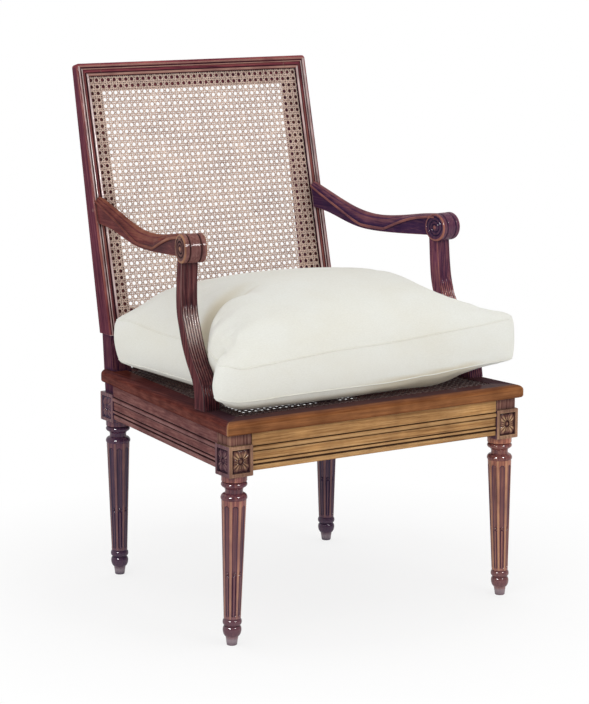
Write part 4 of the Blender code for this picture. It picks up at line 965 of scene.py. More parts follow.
# Round-nosed seat frame
def nose_profile():
    """Outline of a seat frame member: distance in from its nose, height and tone, which paints shade on the
    flat top and under the nose, and a highlight along the nose.
    """
    rebate = SEAT_HEIGHT - CANE_THICKNESS - GAP
    upper = arc((NOSE_TOP_RADIUS, SEAT_HEIGHT - NOSE_TOP_RADIUS),
                (NOSE_TOP_RADIUS, NOSE_TOP_RADIUS), 90.0, 180.0, 12)
    lower = arc((NOSE_BOTTOM_RADIUS, SEAT_UNDERSIDE + NOSE_BOTTOM_RADIUS),
                (NOSE_BOTTOM_RADIUS, NOSE_BOTTOM_RADIUS), 180.0, 270.0, 8)
    flat = [(SEAT_FRAME_WIDTH, SEAT_UNDERSIDE), (SEAT_FRAME_WIDTH, rebate), (SEAT_FRAME_MARGIN, rebate),
            (SEAT_FRAME_MARGIN, SEAT_HEIGHT - EDGE), (SEAT_FRAME_MARGIN - EDGE, SEAT_HEIGHT),
            (NOSE_TOP_RADIUS + 4.0 * EDGE, SEAT_HEIGHT)]
    places = flat + upper + lower
    tones = len(flat) * [SEAT_TONE] + list(np.linspace(0.5 * SEAT_TONE, -NOSE_HIGHLIGHT, len(upper)))
    tones += list(np.linspace(-NOSE_HIGHLIGHT, 0.4, len(lower)))
    return [(*place, tone) for place, tone in zip(places, tones)]


def seat_front():
    """Front member, mitred at both ends."""
    rings = []
    for side in (-1, 1):
        rings.append([(side * (side_x(SEAT_FRONT_Y + inward, inward) - GAP / 2.0), SEAT_FRONT_Y + inward, z)
                      for inward, z, _ in nose_profile()])
    return moulding("seat_frame_front", "_nosed", rings, nose_profile(), "front_frame")


def seat_side(word, side):
    """Side member, mitred in front and cut out round the rear post."""
    front = []
    rear = []
    for inward, z, _ in nose_profile():
        y = SEAT_FRONT_Y + inward + GAP / 2.0
        front.append((side * side_x(y, inward), y, z))
        rear.append((side * side_x(SEAT_REAR_Y, inward), SEAT_REAR_Y, z))
    tones = 2 * [tone for _, _, tone in nose_profile()]
    mesh = tidy_mesh("seat_frame_" + word, *skin([front, rear]), tones)
    ends = sorted((side * (POST_INNER - GAP), side * (POST_OUTER + GAP)))
    mesh = cut_box(mesh, (ends[0], REAR_LEG_Y - POST_DEPTH / 2.0 - GAP, DIE_TOP),
                   (ends[1], SEAT_REAR_Y + SEAT_FRAME_WIDTH, BACK_BOTTOM))
    return add(f"seat_frame_{word}_nosed", mesh, "side_frame", stands_for=("seat_frame_" + word,))


def seat_rear():
    """Rear member between the side members."""
    rings = []
    for side in (-1, 1):
        rings.append([(side * (side_x(SEAT_REAR_Y - inward, SEAT_FRAME_WIDTH) - GAP / 2.0),
                       SEAT_REAR_Y - inward, z) for inward, z, _ in nose_profile()])
    return moulding("seat_frame_rear", "_nosed", rings, nose_profile(), "rear_rail")


seat_front()
for side, word in SIDES:
    seat_side(word, side)
seat_rear()


# Raked back frame
def band_profile(bed):
    """Front moulding of the back: distance in from the outer edge, depth behind the front plane, and tone,
    which paints highlights on the beads and shade in the grooves and on the rebate's floor.
    """
    return [
        *((*point, 0.0) for point in arc((0.0042, 0.0042), (0.0042, 0.0042), 180.0, 262.0, 8)),
        *((*point, -0.7) for point in arc((0.0050, 0.0022), (0.0022, 0.0022), 262.0, 318.0, 5)),
        (0.0076, 0.0014, 0.5),
        (0.0084, 0.0032, 0.9),
        (0.0092, 0.0032, 0.9),
        (0.0096, 0.0014, -0.6),
        (0.0104, 0.0010, -1.0),
        (0.0113, 0.0010, -1.0),
        (0.0118, 0.0024, 0.8),
        (0.0130, 0.0025, 0.1),
        (0.0164, 0.0026, 0.1),
        (0.0172, 0.0036, 0.9),
        (0.0180, 0.0036, 0.9),
        *crested(arc((0.0208, 0.0024), (0.0026, 0.0022), 190.0, 350.0, 10), -1.0),
        (BACK_BAND, 0.0040, 1.0),
        (BACK_BAND, BACK_REBATE, bed),
        (FRAME_RAIL, BACK_REBATE, bed),
    ]


def rear_outline(along_of):
    """Rest of a back member's outline: its inner edge and its rear face, with eased corners."""
    return [
        (FRAME_RAIL, stile_depth(along_of(FRAME_RAIL)) - EDGE, 0.0),
        (FRAME_RAIL - EDGE, stile_depth(along_of(FRAME_RAIL)), 0.0),
        (2.0 * EDGE, stile_depth(along_of(0.0)), 0.0),
        (0.0, stile_depth(along_of(0.0)) - 2.0 * EDGE, 0.0),
    ]


def stile_rings(side):
    """Rings of a stile that turns the top corner and runs to the joint with the crest rail."""
    def ring(outline, across_of, along_of):
        return [BACK_FRAME @ Vector((side * across_of(inset), depth, along_of(inset, depth)))
                for inset, depth, _ in outline]

    def edge(inset):
        return BACK_HALF_WIDTH - inset

    foot = band_profile(STILE_BED_TONE) + rear_outline(lambda inset: 0.0)
    rings = [ring(foot, edge, lambda inset, depth: depth * math.tan(BACK_RAKE))]
    top = band_profile(STILE_BED_TONE) + rear_outline(lambda inset: BACK_LENGTH - inset)
    radius = BACK_CORNER_RADIUS
    for angle in np.radians(np.linspace(0.0, 90.0, 9)):
        def across(inset, angle=angle):
            bend = max(radius - inset, 0.0)
            return BACK_HALF_WIDTH - max(radius, inset) + bend * math.cos(angle)

        def along(inset, depth, angle=angle):
            bend = max(radius - inset, 0.0)
            return BACK_LENGTH - max(radius, inset) + bend * math.sin(angle)

        rings.append(ring(top, across, along))
    rings.append(ring(top, lambda inset: OPENING_HALF_WIDTH, lambda inset, depth: BACK_LENGTH - inset))
    return rings


def post_rings(side):
    """Rings of the post between a rear die and its stile."""
    high = BACK_BOTTOM + POST_LAP
    start = REAR_LEG_Y - POST_DEPTH / 2.0
    rings = []
    for z, front, rear in (
            (DIE_TOP - EDGE, start, start + POST_DEPTH),
            (high, back_y(high) + POST_CHEEK, back_y(high) + stile_depth(POST_LAP) - 2.0 * POST_CHEEK)):
        ring = eased_ring(POST_INNER, POST_OUTER, front, rear, z)
        rings.append([(side * x, y, level) for x, y, level in ring])
    return rings


def back_rail(name, flip):
    """Crest rail, or the bottom rail with its section flipped, between the stiles."""
    def along_of(inset):
        return inset if flip else BACK_LENGTH - inset

    outline = band_profile(RAIL_BED_TONE) + rear_outline(along_of)
    end = OPENING_HALF_WIDTH - GAP
    rings = []
    for x in (-end, end):
        ring = []
        for inset, depth, _ in outline:
            level = depth * math.tan(BACK_RAKE) * (1.0 - min(inset / BACK_BAND, 1.0)) if flip else 0.0
            ring.append(BACK_FRAME @ Vector((x, depth, along_of(inset) + level)))
        rings.append(ring)
    return moulding(name, "_moulded", rings, outline, "crest")


def stile_look(face):
    """Number of the look of a stile's face: its front and rear, its flanks, which take a shaded copy of the
    wood, or its turn into the crest.
    """
    if face.center.z > CREST_FROM:
        return 2
    return int(abs(face.normal.x) > 0.9)


for side, word in SIDES:
    rings = stile_rings(side)
    tones = len(rings) * [tone for _, _, tone in band_profile(STILE_BED_TONE) + rear_outline(float)]
    leg = (f"rear_{word}_leg",)
    add(f"rear_{word}_stile", tidy_mesh("stile", *skin(rings), tones), "stile", "chair", leg,
        ("stile_flank", "crest"), stile_look)
    add(f"rear_{word}_post", tidy_mesh("post", *skin(post_rings(side))), "post", stands_for=leg)
back_rail("crest_rail", False)
back_rail("back_bottom_rail", True)


# Arms with their scrolls
def grooves(distance, places, width, depth):
    """Depth of fine grooves at places on both sides of a middle line."""
    return sum(depth * bell(np.abs(distance) - place, width) for place in places)


def arm_ring(side, place, top, bottom, drop, cheek):
    """Ring of an arm: a crown between two beads that wind down and up its sides, over cheeks cut in; its
    tones paint highlights along the crown, on the beads and at the lower corners, and shade in the groove,
    the quirks and on the cheeks.
    """
    centre = ARM_ROOT_CENTRE + (SCROLL_CENTRE - ARM_ROOT_CENTRE) * place ** 2
    half = ARM_ROOT_HALF_WIDTH + (SCROLL_WIDTH / 2.0 - ARM_ROOT_HALF_WIDTH) * place
    ease = 2.0 * EDGE
    arris = max(top - drop * (top - bottom), bottom + 2.0 * ARM_BEAD + 2.0 * ease)
    reach = half - ARM_BEAD
    across = np.linspace(-1.0, 1.0, ARM_COLUMNS)
    groove = grooves(across * half, (ARM_GROOVE_PLACE * half,), ARM_GROOVE_WIDTH, ARM_GROOVE_DEPTH)
    quirk = bell((1.0 - np.abs(across)) * half, 0.7 * ARM_BEAD)
    crown = arris + (top - arris) * (1.0 - across ** 2) - groove - 0.6 * ARM_BEAD * quirk
    shown = 1.0 if side > 0 else 0.25 + 0.75 * float(smooth((place - 0.45) / 0.20))
    tone = 0.5 * groove / ARM_GROOVE_DEPTH + 0.9 * shown * quirk - CROWN_HIGHLIGHT * (1.0 - across ** 2)
    outline = list(zip(across * reach, crown, tone))
    cheek_x = half - max(cheek, ARM_BEAD)
    bead = arc((reach, arris - ARM_BEAD), (ARM_BEAD, ARM_BEAD), 80.0, -80.0, 7)
    below = arris - 2.2 * ARM_BEAD
    flank = [(x, z, -0.5 * shown) for x, z in bead]
    flank += [(cheek_x, below, 0.9 * shown), (cheek_x, below - EDGE, 0.5 * shown),
              (cheek_x, bottom + ease, 0.4 * shown)]
    flank += [(x, z, -0.3) for x, z in arc((cheek_x - ease, bottom + ease), (ease, ease), -15.0, -75.0, 3)]
    flank += [(cheek_x - ease, bottom, 0.0)]
    outline += flank + [(-x, z, tint) for x, z, tint in reversed(flank)]
    lean = math.tan(BACK_RAKE) * (1.0 - place) ** 2
    start = back_y(ARM_ROOT_Z) - GAP - ARM_RUN * place
    return ([(side * (centre + x), start + lean * (z - ARM_ROOT_Z), z) for x, z, _ in outline],
            [tint for _, _, tint in outline])


def arm_solid(side):
    """Points, faces and tones of an arm from the back to its scroll."""
    lines = [eased(points, ARM_STATIONS) for points in (ARM_TOP, ARM_BOTTOM, ARM_ARRIS, ARM_CHEEK)]
    return toned_skin([arm_ring(side, place, *values)
                       for place, *values in zip(np.linspace(0.0, 1.0, ARM_STATIONS), *lines)])


def toed(side, toe):
    """Directions out and back of a piece that is turned outward by an angle."""
    return (Vector((side * math.cos(toe), math.sin(toe), 0.0)),
            Vector((-side * math.sin(toe), math.cos(toe), 0.0)))


def volute(radius, angles):
    """Depth of the spiral groove on a scroll's end, at a distance from its eye and at angles."""
    depth = np.zeros(len(angles))
    for lap in range(3):
        middle = SCROLL_RADIUS - VOLUTE_RIM - VOLUTE_PITCH * (lap + angles / (2.0 * math.pi))
        there = VOLUTE_DEPTH * bell(radius - middle, VOLUTE_WIDTH)
        depth = np.maximum(depth, np.where(middle > VOLUTE_EYE, there, 0.0))
    return depth - VOLUTE_WIDTH * dome(radius / VOLUTE_EYE)


def scroll_half(angles):
    """Half of a scroll from its eye to its middle: for each ring, places along its axis, radius and tones,
    which paint shade on the end and in the grooves, and highlights on the rims and the eye.
    """
    end = SCROLL_WIDTH / 2.0
    rings = []
    for radius in np.linspace(VOLUTE_START, SCROLL_RADIUS - SCROLL_ROUND, VOLUTE_RINGS):
        depth = volute(radius, angles)
        rim = -0.6 * (radius > SCROLL_RADIUS - VOLUTE_RIM + 1.5 * VOLUTE_WIDTH)
        end_shade = VOLUTE_TONE if radius > VOLUTE_EYE and rim == 0.0 else 0.0
        rings.append((end - depth, radius, np.clip(depth / VOLUTE_DEPTH + end_shade, -0.6, 0.95) + rim))
    for inward, drop, tone in ((0.0003, 0.0010, -0.8), (0.0010, 0.0003, -0.8), (SCROLL_ROUND, 0.0, -0.5)):
        rings.append((np.full(len(angles), end - inward), SCROLL_RADIUS - drop, np.full(len(angles), tone)))
    for along in np.linspace(end - BARREL_FROM, 0.0, BARREL_RINGS):
        depth = float(grooves(along, (ARM_GROOVE_PLACE * end,), SCROLL_GROOVE_WIDTH, SCROLL_GROOVE_DEPTH))
        rings.append((np.full(len(angles), along), SCROLL_RADIUS - depth,
                      np.full(len(angles), 0.95 * depth / SCROLL_GROOVE_DEPTH)))
    return rings


def scroll_solid(side):
    """Points, faces and tones of a scroll with its two volutes."""
    angles = np.linspace(0.0, 2.0 * math.pi, SCROLL_COLUMNS, endpoint=False)
    half = scroll_half(angles)
    profile = half + [(-along, radius, tone) for along, radius, tone in reversed(half[:-1])]
    axis, level = toed(side, TOE)
    centre = Vector((side * SCROLL_CENTRE, SCROLL_Y, SCROLL_HEIGHT))
    spokes = [level * math.cos(angle) + Vector((0.0, 0.0, math.sin(angle))) for angle in angles]
    rings = []
    for alongs, radius, tones in profile:
        ring = [centre + axis * along + spoke * radius for along, spoke in zip(alongs, spokes)]
        rings.append((ring, tones))
    return toned_skin(rings)


# Swept arm supports
SUPPORT_PATH = eased(SUPPORT_SWEEP, SUPPORT_STATIONS)
FLUTE_CUT = 0.0022
FLUTE_SHARE = 0.40
FLUTE_EDGE = 0.05
REED_CUT = 0.0019


def support_depth(share):
    """Thickness of a support at a share of its height."""
    return SUPPORT_TOP_DEPTH + (SUPPORT_BASE_DEPTH - SUPPORT_TOP_DEPTH) * (1.0 - share) ** SUPPORT_DEPTH_EASE


def support_relief(x, z):
    """Depth of the front of a support and its tone: flutes above, fine reeds below; the tone paints shade
    between the reeds, on the flutes' edges and towards the foot, and a highlight and glint on the reeds.
    """
    width = SUPPORT_WIDTH - 2.0 * EDGE
    share = np.clip(x / width + 0.5, 0.0, 1.0)
    flute = (share * SUPPORT_FLUTES) % 1.0 - 0.5
    hollow = dome(flute / FLUTE_SHARE)
    reed = (share * SUPPORT_REEDS) % 1.0 - 0.5
    gap = 1.0 - dome(reed / 0.5)
    ease = smooth((z - REED_TOP + 0.002) / 0.004)
    edges = bell(np.abs(flute) - FLUTE_SHARE, FLUTE_EDGE)
    depth = REED_CUT * gap * (1.0 - ease) + FLUTE_CUT * hollow * ease
    shine = REED_SHINE * (1.0 - gap) ** 2 * bell(z - REED_SHINE_Z, REED_SHINE_REACH)
    tone = (1.5 * gap - 0.20 - shine) * (1.0 - ease) + (0.90 * edges - 0.06 * hollow) * ease
    return depth, tone + FOOT_TONE * float(smooth((FOOT_SHADE_TOP - z) / FOOT_SHADE_REACH))


def support_ring(side, share, setback):
    """Ring of a support with its tones: a carved front and a rounded rear."""
    z = SUPPORT_FOOT + (SUPPORT_HEAD - SUPPORT_FOOT) * share
    centre = Vector((side * (SUPPORT_BASE_CENTRE + (SCROLL_CENTRE - SUPPORT_BASE_CENTRE) * share),
                     FRONT_LEG_Y + setback, z))
    half = SUPPORT_WIDTH / 2.0
    across = np.linspace(-half + EDGE, half - EDGE, SUPPORT_COLUMNS)
    front = -support_depth(share) / 2.0
    depth, tone = support_relief(across, z)
    # The front's corners take a painted highlight.
    outline = [(-half, front + 4.0 * EDGE, 0.0), (-half, front + EDGE, -0.3)]
    outline += list(zip(across, front + depth, np.clip(tone, -0.95, 0.95)))
    outline += [(half, front + EDGE, -0.3), (half, front + 4.0 * EDGE, 0.0), (half, -front - 3.0 * EDGE, 0.0)]
    rear = arc((half - 3.0 * EDGE, -front - 3.0 * EDGE), (3.0 * EDGE, 3.0 * EDGE), 15.0, 90.0, 5)
    rear += arc((3.0 * EDGE - half, -front - 3.0 * EDGE), (3.0 * EDGE, 3.0 * EDGE), 90.0, 165.0, 5)
    outline += [(x, y, 0.0) for x, y in rear] + [(-half, -front - 3.0 * EDGE, 0.0)]
    axis, back = toed(side, TOE * float(smooth(share)))
    return [centre + axis * x + back * y for x, y, _ in outline], [tint for _, _, tint in outline]


def support_solid(side):
    """Points, faces and tones of a support from the seat to its scroll."""
    return toned_skin([support_ring(side, share, setback)
                       for share, setback in zip(np.linspace(0.0, 1.0, SUPPORT_STATIONS), SUPPORT_PATH)])


for side, word in SIDES:
    # The right arm, scroll and support take shaded copies of the wood
    shade = "right_" if side > 0 else ""
    add(f"{word}_arm_moulded", tidy_mesh("arm", *arm_solid(side)), shade + "arm", stands_for=(f"{word}_arm",))
    add(f"{word}_arm_scroll", tidy_mesh("scroll", *scroll_solid(side)), shade + "scroll",
        stands_for=(f"{word}_arm",))
    add(f"{word}_arm_support_reeded", tidy_mesh("support", *support_solid(side)), shade + "support",
        stands_for=(f"{word}_arm_support",))


# Woven cane
def clipped(start, direction, corners):
    """Stretch of a line inside a convex outline, as two distances along it, or None."""
    low, high = -math.inf, math.inf
    count = len(corners)
    for index in range(count):
        a = corners[index]
        b = corners[(index + 1) % count]
        inward = np.array((a[1] - b[1], b[0] - a[0]))
        speed = float(inward @ direction)
        room = float(inward @ (start - a))
        if abs(speed) < MERGE:
            if room < 0.0:
                return None
            continue
        crossing = -room / speed
        if speed > 0.0:
            low = max(low, crossing)
        else:
            high = min(high, crossing)
    return (low, high) if high - low > CANE_WIDTH else None


def strand(points, faces, line, direction, to_world):
    """Add one three-sided strand through places of distance across the plane and height."""
    beside = np.array((-direction[1], direction[0])) * CANE_WIDTH / 2.0
    first = len(points)
    for place, height in line:
        points.append(to_world(*(place - beside), height))
        points.append(to_world(*(place + beside), height))
        points.append(to_world(*place, height + CANE_RISE))
    for index in range(len(line) - 1):
        a = first + 3 * index
        for i, j in ((0, 1), (1, 2), (2, 0)):
            faces.append((a + i, a + j, a + j + 3, a + i + 3))
    faces.append((first + 2, first + 1, first))
    last = first + 3 * (len(line) - 1)
    faces.append((last, last + 1, last + 2))


def weave(name, corners, to_world, look, node_name):
    """Six-way cane: pairs across and along, and diagonals that cross between the holes."""
    corners = [np.array(corner) for corner in corners]
    span = max(float(np.abs(corner).max()) for corner in corners)
    reach = int(2.0 * span / CANE_PITCH) + 2
    points = []
    faces = []

    def lay(start, direction, step, heights, offset):
        """One strand, with a height at each step counted from an offset along it."""
        inside = clipped(start, direction, corners)
        if inside is None:
            return
        low, high = inside
        stops = [low]
        first = math.ceil((low - offset) / step + CANE_END)
        last = math.floor((high - offset) / step - CANE_END)
        stops += [offset + step * index for index in range(first, last + 1)]
        stops.append(high)
        line = [(start + direction * stop, heights[round((stop - offset) / step) % 2]) for stop in stops]
        strand(points, faces, line, direction, to_world)

    middle = sum(corners) / len(corners)
    half = CANE_PITCH / 2.0
    across = np.array((1.0, 0.0))
    along = np.array((0.0, 1.0))
    for index in range(-reach, reach + 1):
        place = (index + 0.5) * CANE_PITCH
        for pair in (-1.0, 1.0):
            shift = pair * CANE_PAIR / 2.0
            lay(middle + along * (place + shift), across, 4.0 * span, (0.0, 0.0), 0.0)
            lay(middle + across * (place + shift), along, half, (0.0, pair * CANE_SWAY), 0.0)
        for turn in (-1.0, 1.0):
            direction = np.array((1.0, turn)) / math.sqrt(2.0)
            lay(middle + along * place, direction, half * math.sqrt(2.0),
                (-turn * CANE_UNDER, turn * CANE_OVER), 0.0)
    return add(name, tidy_mesh(name, points, faces, merged=False), look, stands_for=(node_name,))


CANE_LEVEL = CANE_THICKNESS / 2.0 + CANE_RISE / 3.0
band = BACK_HALF_WIDTH - BACK_BAND - GAP
weave("back_cane_woven",
      [(-band, BACK_BAND + GAP), (band, BACK_BAND + GAP), (band, BACK_LENGTH - BACK_BAND - GAP),
       (-band, BACK_LENGTH - BACK_BAND - GAP)],
      lambda u, v, w: tuple(BACK_FRAME @ Vector((u, BACK_REBATE - GAP - CANE_LEVEL - w, v))),
      "cane", "back_cane")
cane_front = SEAT_FRONT_Y + SEAT_FRAME_MARGIN + GAP
cane_rear = SEAT_REAR_Y - SEAT_FRAME_MARGIN - GAP
cane_wide = side_x(cane_front, SEAT_FRAME_MARGIN) - GAP
cane_narrow = side_x(cane_rear, SEAT_FRAME_MARGIN) - GAP
weave("seat_cane_woven",
      [(-cane_wide, cane_front), (cane_wide, cane_front),
       (cane_narrow, cane_rear), (-cane_narrow, cane_rear)],
      lambda u, v, w: (u, v, SEAT_HEIGHT - CANE_LEVEL - CANE_RISE + w), "seat_cane", "seat_cane")


# Loose cushion
CUSHION_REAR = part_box("cushion")[1].y
CUSHION_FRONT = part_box("cushion")[0].y
CUSHION_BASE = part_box("cushion")[0].z
CUSHION_HALF_WIDTH = 0.236
CUSHION_EAR_HALF_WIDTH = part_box("cushion")[1].x
CUSHION_EAR_REAR = -0.2115
CUSHION_DRAWN_IN = 0.007
CUSHION_CORNER = 0.016
CUSHION_SEAM_BOTTOM = 0.021
CUSHION_SEAM_TOP = 0.090
CUSHION_CORNER_LIFT = 0.016
CUSHION_VOXEL = 0.0055
CUSHION_SHRINK = 0.007
CUSHION_SHRINK_REACH = 0.030
CUSHION_LOWER_FULLNESS = 2.4
CUSHION_LEFT_CURL = 0.009
CURL_FROM = 0.245
CURL_REACH = 0.035
CUSHION_PRESSURE = 4.0
CUSHION_CAP = 0.009
CUSHION_FRAMES = 18
SEAM_PIN = 0.005
SEAM_STEP = 0.004
SEAM_RADIUS = 0.0011
SEAM_SIDES = 8
SUPPORT_KEEP_OUT = ((0.2375, -0.2060), (0.2900, -0.1000))
SUPPORT_ROOM = 0.003

# Fold across the left of the cushion: place, depth and reach of its valley
FOLD = (((-0.2400, -0.1480), 0.030, 0.008), ((-0.2280, -0.1340), 0.030, 0.009),
        ((-0.2130, -0.1230), 0.027, 0.011), ((-0.1950, -0.1140), 0.022, 0.013),
        ((-0.1750, -0.1060), 0.017, 0.015), ((-0.1500, -0.0970), 0.011, 0.019),
        ((-0.1250, -0.0900), 0.006, 0.024), ((-0.0950, -0.0860), 0.0, 0.028))

# Height above the base from which the fold and the lobe show, and the reach of that change
FOLD_FROM = (0.070, 0.025)
FOLD_SWELL = 0.30
FOLD_BROW = 2.2
FOLD_STEPS = 120

# Full lobe in front of the fold: middle, reach and rise
LOBE = ((-0.215, -0.165), (0.060, 0.060), 0.035)
LOBE_EDGE = 0.010

# Painted shade in a band along the back of the fold, and its first height above the base and reach of that
# change
SHADE_BAND_FROM = (0.050, 0.020)
SHADE_BAND_OFFSET = 0.019
SHADE_BAND_REACH = 0.013
SHADE_BAND_DEPTH = 0.014
SHADE_BAND_FRONT = 2.5

# Painted shade on the underside of the right front: rise over the lower seam, and where it begins and ends
UNDER_RISE = 0.009
UNDER_REACH = 0.006
UNDER_LEFT = (-0.06, 0.12)
UNDER_RIGHT = (0.25, 0.05)
UNDER_REAR = (-0.18, 0.05)

# Soft moves of the cushion's surface: middle, reach and push
MOVES = (
    ((0.175, -0.085, 0.535), (0.065, 0.100, 0.060), (0.0, 0.0, 0.020)),
    ((0.205, -0.237, 0.520), (0.050, 0.035, 0.040), (0.0, 0.0, -0.007)),
    ((0.298, -0.235, 0.490), (0.035, 0.055, 0.035), (0.002, 0.0, 0.011)),
    ((0.304, -0.276, 0.440), (0.035, 0.030, 0.070), (0.009, -0.005, 0.0)),
    ((-0.230, 0.040, 0.435), (0.045, 0.100, 0.045), (-0.008, 0.0, 0.0)),
    ((-0.190, 0.105, 0.495), (0.080, 0.060, 0.060), (0.0, 0.0, 0.013)),
    ((-0.228, 0.140, 0.440), (0.050, 0.055, 0.060), (-0.017, 0.0, 0.004)),
    ((0.228, 0.140, 0.440), (0.050, 0.055, 0.060), (0.010, 0.0, 0.003)),
    ((0.170, -0.245, 0.388), (0.060, 0.040, 0.018), (0.0, 0.0, -0.008)),
    ((-0.238, -0.192, 0.468), (0.030, 0.034, 0.040), (-0.024, 0.0, 0.0)),
    ((-0.252, -0.224, 0.487), (0.014, 0.020, 0.007), (0.008, 0.005, -0.016)),
    ((-0.262, -0.236, 0.466), (0.016, 0.012, 0.008), (0.010, 0.006, -0.004)),
    ((-0.306, -0.262, 0.462), (0.022, 0.030, 0.022), (0.012, 0.0, 0.004)),
    ((-0.292, -0.245, 0.465), (0.028, 0.050, 0.028), (0.0, 0.0, 0.009)),
    ((-0.304, -0.214, 0.430), (0.036, 0.036, 0.090), (0.025, -0.014, 0.0)),
    ((-0.296, -0.250, 0.385), (0.030, 0.050, 0.028), (0.006, 0.0, 0.012)),
)


def resampled(loop, step):
    """Closed loop with points at equal steps."""
    closed = np.vstack((loop, loop[:1]))
    lengths = np.concatenate(((0.0,), np.cumsum(np.linalg.norm(np.diff(closed, axis=0), axis=1))))
    places = np.linspace(0.0, lengths[-1], int(lengths[-1] / step), endpoint=False)
    return np.column_stack([np.interp(places, lengths, column) for column in closed.T])


def cushion_outline():
    """Plan of the cushion's border: a body with ears in front of the arm supports, as a closed loop."""
    ear = CUSHION_EAR_HALF_WIDTH
    body = CUSHION_HALF_WIDTH
    right = [(0.0, CUSHION_FRONT), (ear, CUSHION_FRONT), (ear, CUSHION_EAR_REAR), (body, CUSHION_EAR_REAR),
             (body - CUSHION_DRAWN_IN, (CUSHION_EAR_REAR + CUSHION_REAR) / 2.0), (body, CUSHION_REAR),
             (0.0, CUSHION_REAR)]
    corners = right + [(-x, y) for x, y in reversed(right[1:-1])]
    loop = resampled(np.array(corners), SEAM_STEP)
    turns = int(CUSHION_CORNER / SEAM_STEP)
    for _ in range(turns):
        loop = (np.roll(loop, 1, 0) + loop + np.roll(loop, -1, 0)) / 3.0
    return loop


def seam_loop(rise):
    """Seam round the cushion at a rise above its base, lifted at the right front and sunk at the left."""
    plan = cushion_outline()
    near_front = smooth(1.0 - 2.0 * (plan[:, 1] - CUSHION_FRONT) / (CUSHION_REAR - CUSHION_FRONT))
    across = np.clip(plan[:, 0] / CUSHION_EAR_HALF_WIDTH, -1.0, 1.0)
    lift = smooth(across) - (smooth(-across) if rise > CUSHION_SEAM_BOTTOM else 0.0)
    height = CUSHION_BASE + rise + CUSHION_CORNER_LIFT * lift * near_front
    if rise > CUSHION_SEAM_BOTTOM:
        height += CUSHION_LEFT_CURL * smooth((-plan[:, 0] - CURL_FROM) / CURL_REACH)
    return np.column_stack((plan, height))


def snapped(loop, tree, rounds=3):
    """Closed loop drawn onto a surface and evened out."""
    for _ in range(rounds):
        hits = [tree.find_nearest(Vector(point))[0] for point in loop]
        loop = np.array([tuple(hit) for hit in hits])
        loop = (np.roll(loop, 1, 0) + 2.0 * loop + np.roll(loop, -1, 0)) / 4.0
    return resampled(loop, SEAM_STEP)


def surface(points, mesh):
    """Search tree of a mesh's faces with its points at other places."""
    return BVHTree.FromPolygons([Vector(point) for point in points],
                                [tuple(face.vertices) for face in mesh.polygons])


def vectors(items, key):
    """Vectors of a mesh's items as rows."""
    flat = np.empty(len(items) * 3)
    items.foreach_get(key, flat)
    return flat.reshape(-1, 3)


def coordinates(mesh):
    return vectors(mesh.vertices, "co")


def fold_path():
    """Finely spaced places along the fold, with its depth and reach at each."""
    places = np.array([place for place, _, _ in FOLD])
    share = np.linspace(0.0, len(FOLD) - 1.0, FOLD_STEPS)
    index = np.arange(len(FOLD))
    return (np.column_stack([np.interp(share, index, column) for column in places.T]),
            np.interp(share, index, [depth for _, depth, _ in FOLD]),
            np.interp(share, index, [reach for _, _, reach in FOLD]))


def by_fold(points):
    """Nearest place of the fold to each point, its distance, and how far the point is in front of it."""
    path = fold_path()[0]
    gaps = np.linalg.norm(points[:, None, :2] - path[None, :, :], axis=2)
    nearest = gaps.argmin(axis=1)
    distance = gaps[np.arange(len(points)), nearest]
    ahead = np.gradient(path, axis=0)[nearest]
    ahead /= np.linalg.norm(ahead, axis=1)[:, None]
    offset = points[:, :2] - path[nearest]
    return nearest, distance, offset[:, 0] * ahead[:, 1] - offset[:, 1] * ahead[:, 0]


def risen(values, start, reach):
    """Ease from 0 at a start to 1 a reach further up."""
    return smooth((values - start) / reach)


def fallen(values, end, reach):
    """Ease from 0 at an end to 1 a reach before it."""
    return smooth((end - values) / reach)


def painted_shade_of(points):
    """How much painted shade each point of the cushion takes, by the fold and under the right front, from 0
    to 1.
    """
    nearest, distance, in_front = by_fold(points)
    depth = fold_path()[1][nearest]
    band = bell(distance * np.where(in_front < 0.0, 1.0, SHADE_BAND_FRONT) - SHADE_BAND_OFFSET, SHADE_BAND_REACH)
    upper = risen(points[:, 2] - CUSHION_BASE, *SHADE_BAND_FROM)
    fold = band * upper * np.minimum(1.0, depth / SHADE_BAND_DEPTH)
    lift = CUSHION_CORNER_LIFT * smooth(points[:, 0] / CUSHION_EAR_HALF_WIDTH)
    seam = CUSHION_BASE + CUSHION_SEAM_BOTTOM + UNDER_RISE + lift
    under = smooth((seam - points[:, 2]) / UNDER_REACH) * risen(points[:, 0], *UNDER_LEFT)
    under *= fallen(points[:, 0], *UNDER_RIGHT) * fallen(points[:, 1], *UNDER_REAR)
    return np.maximum(fold, under)


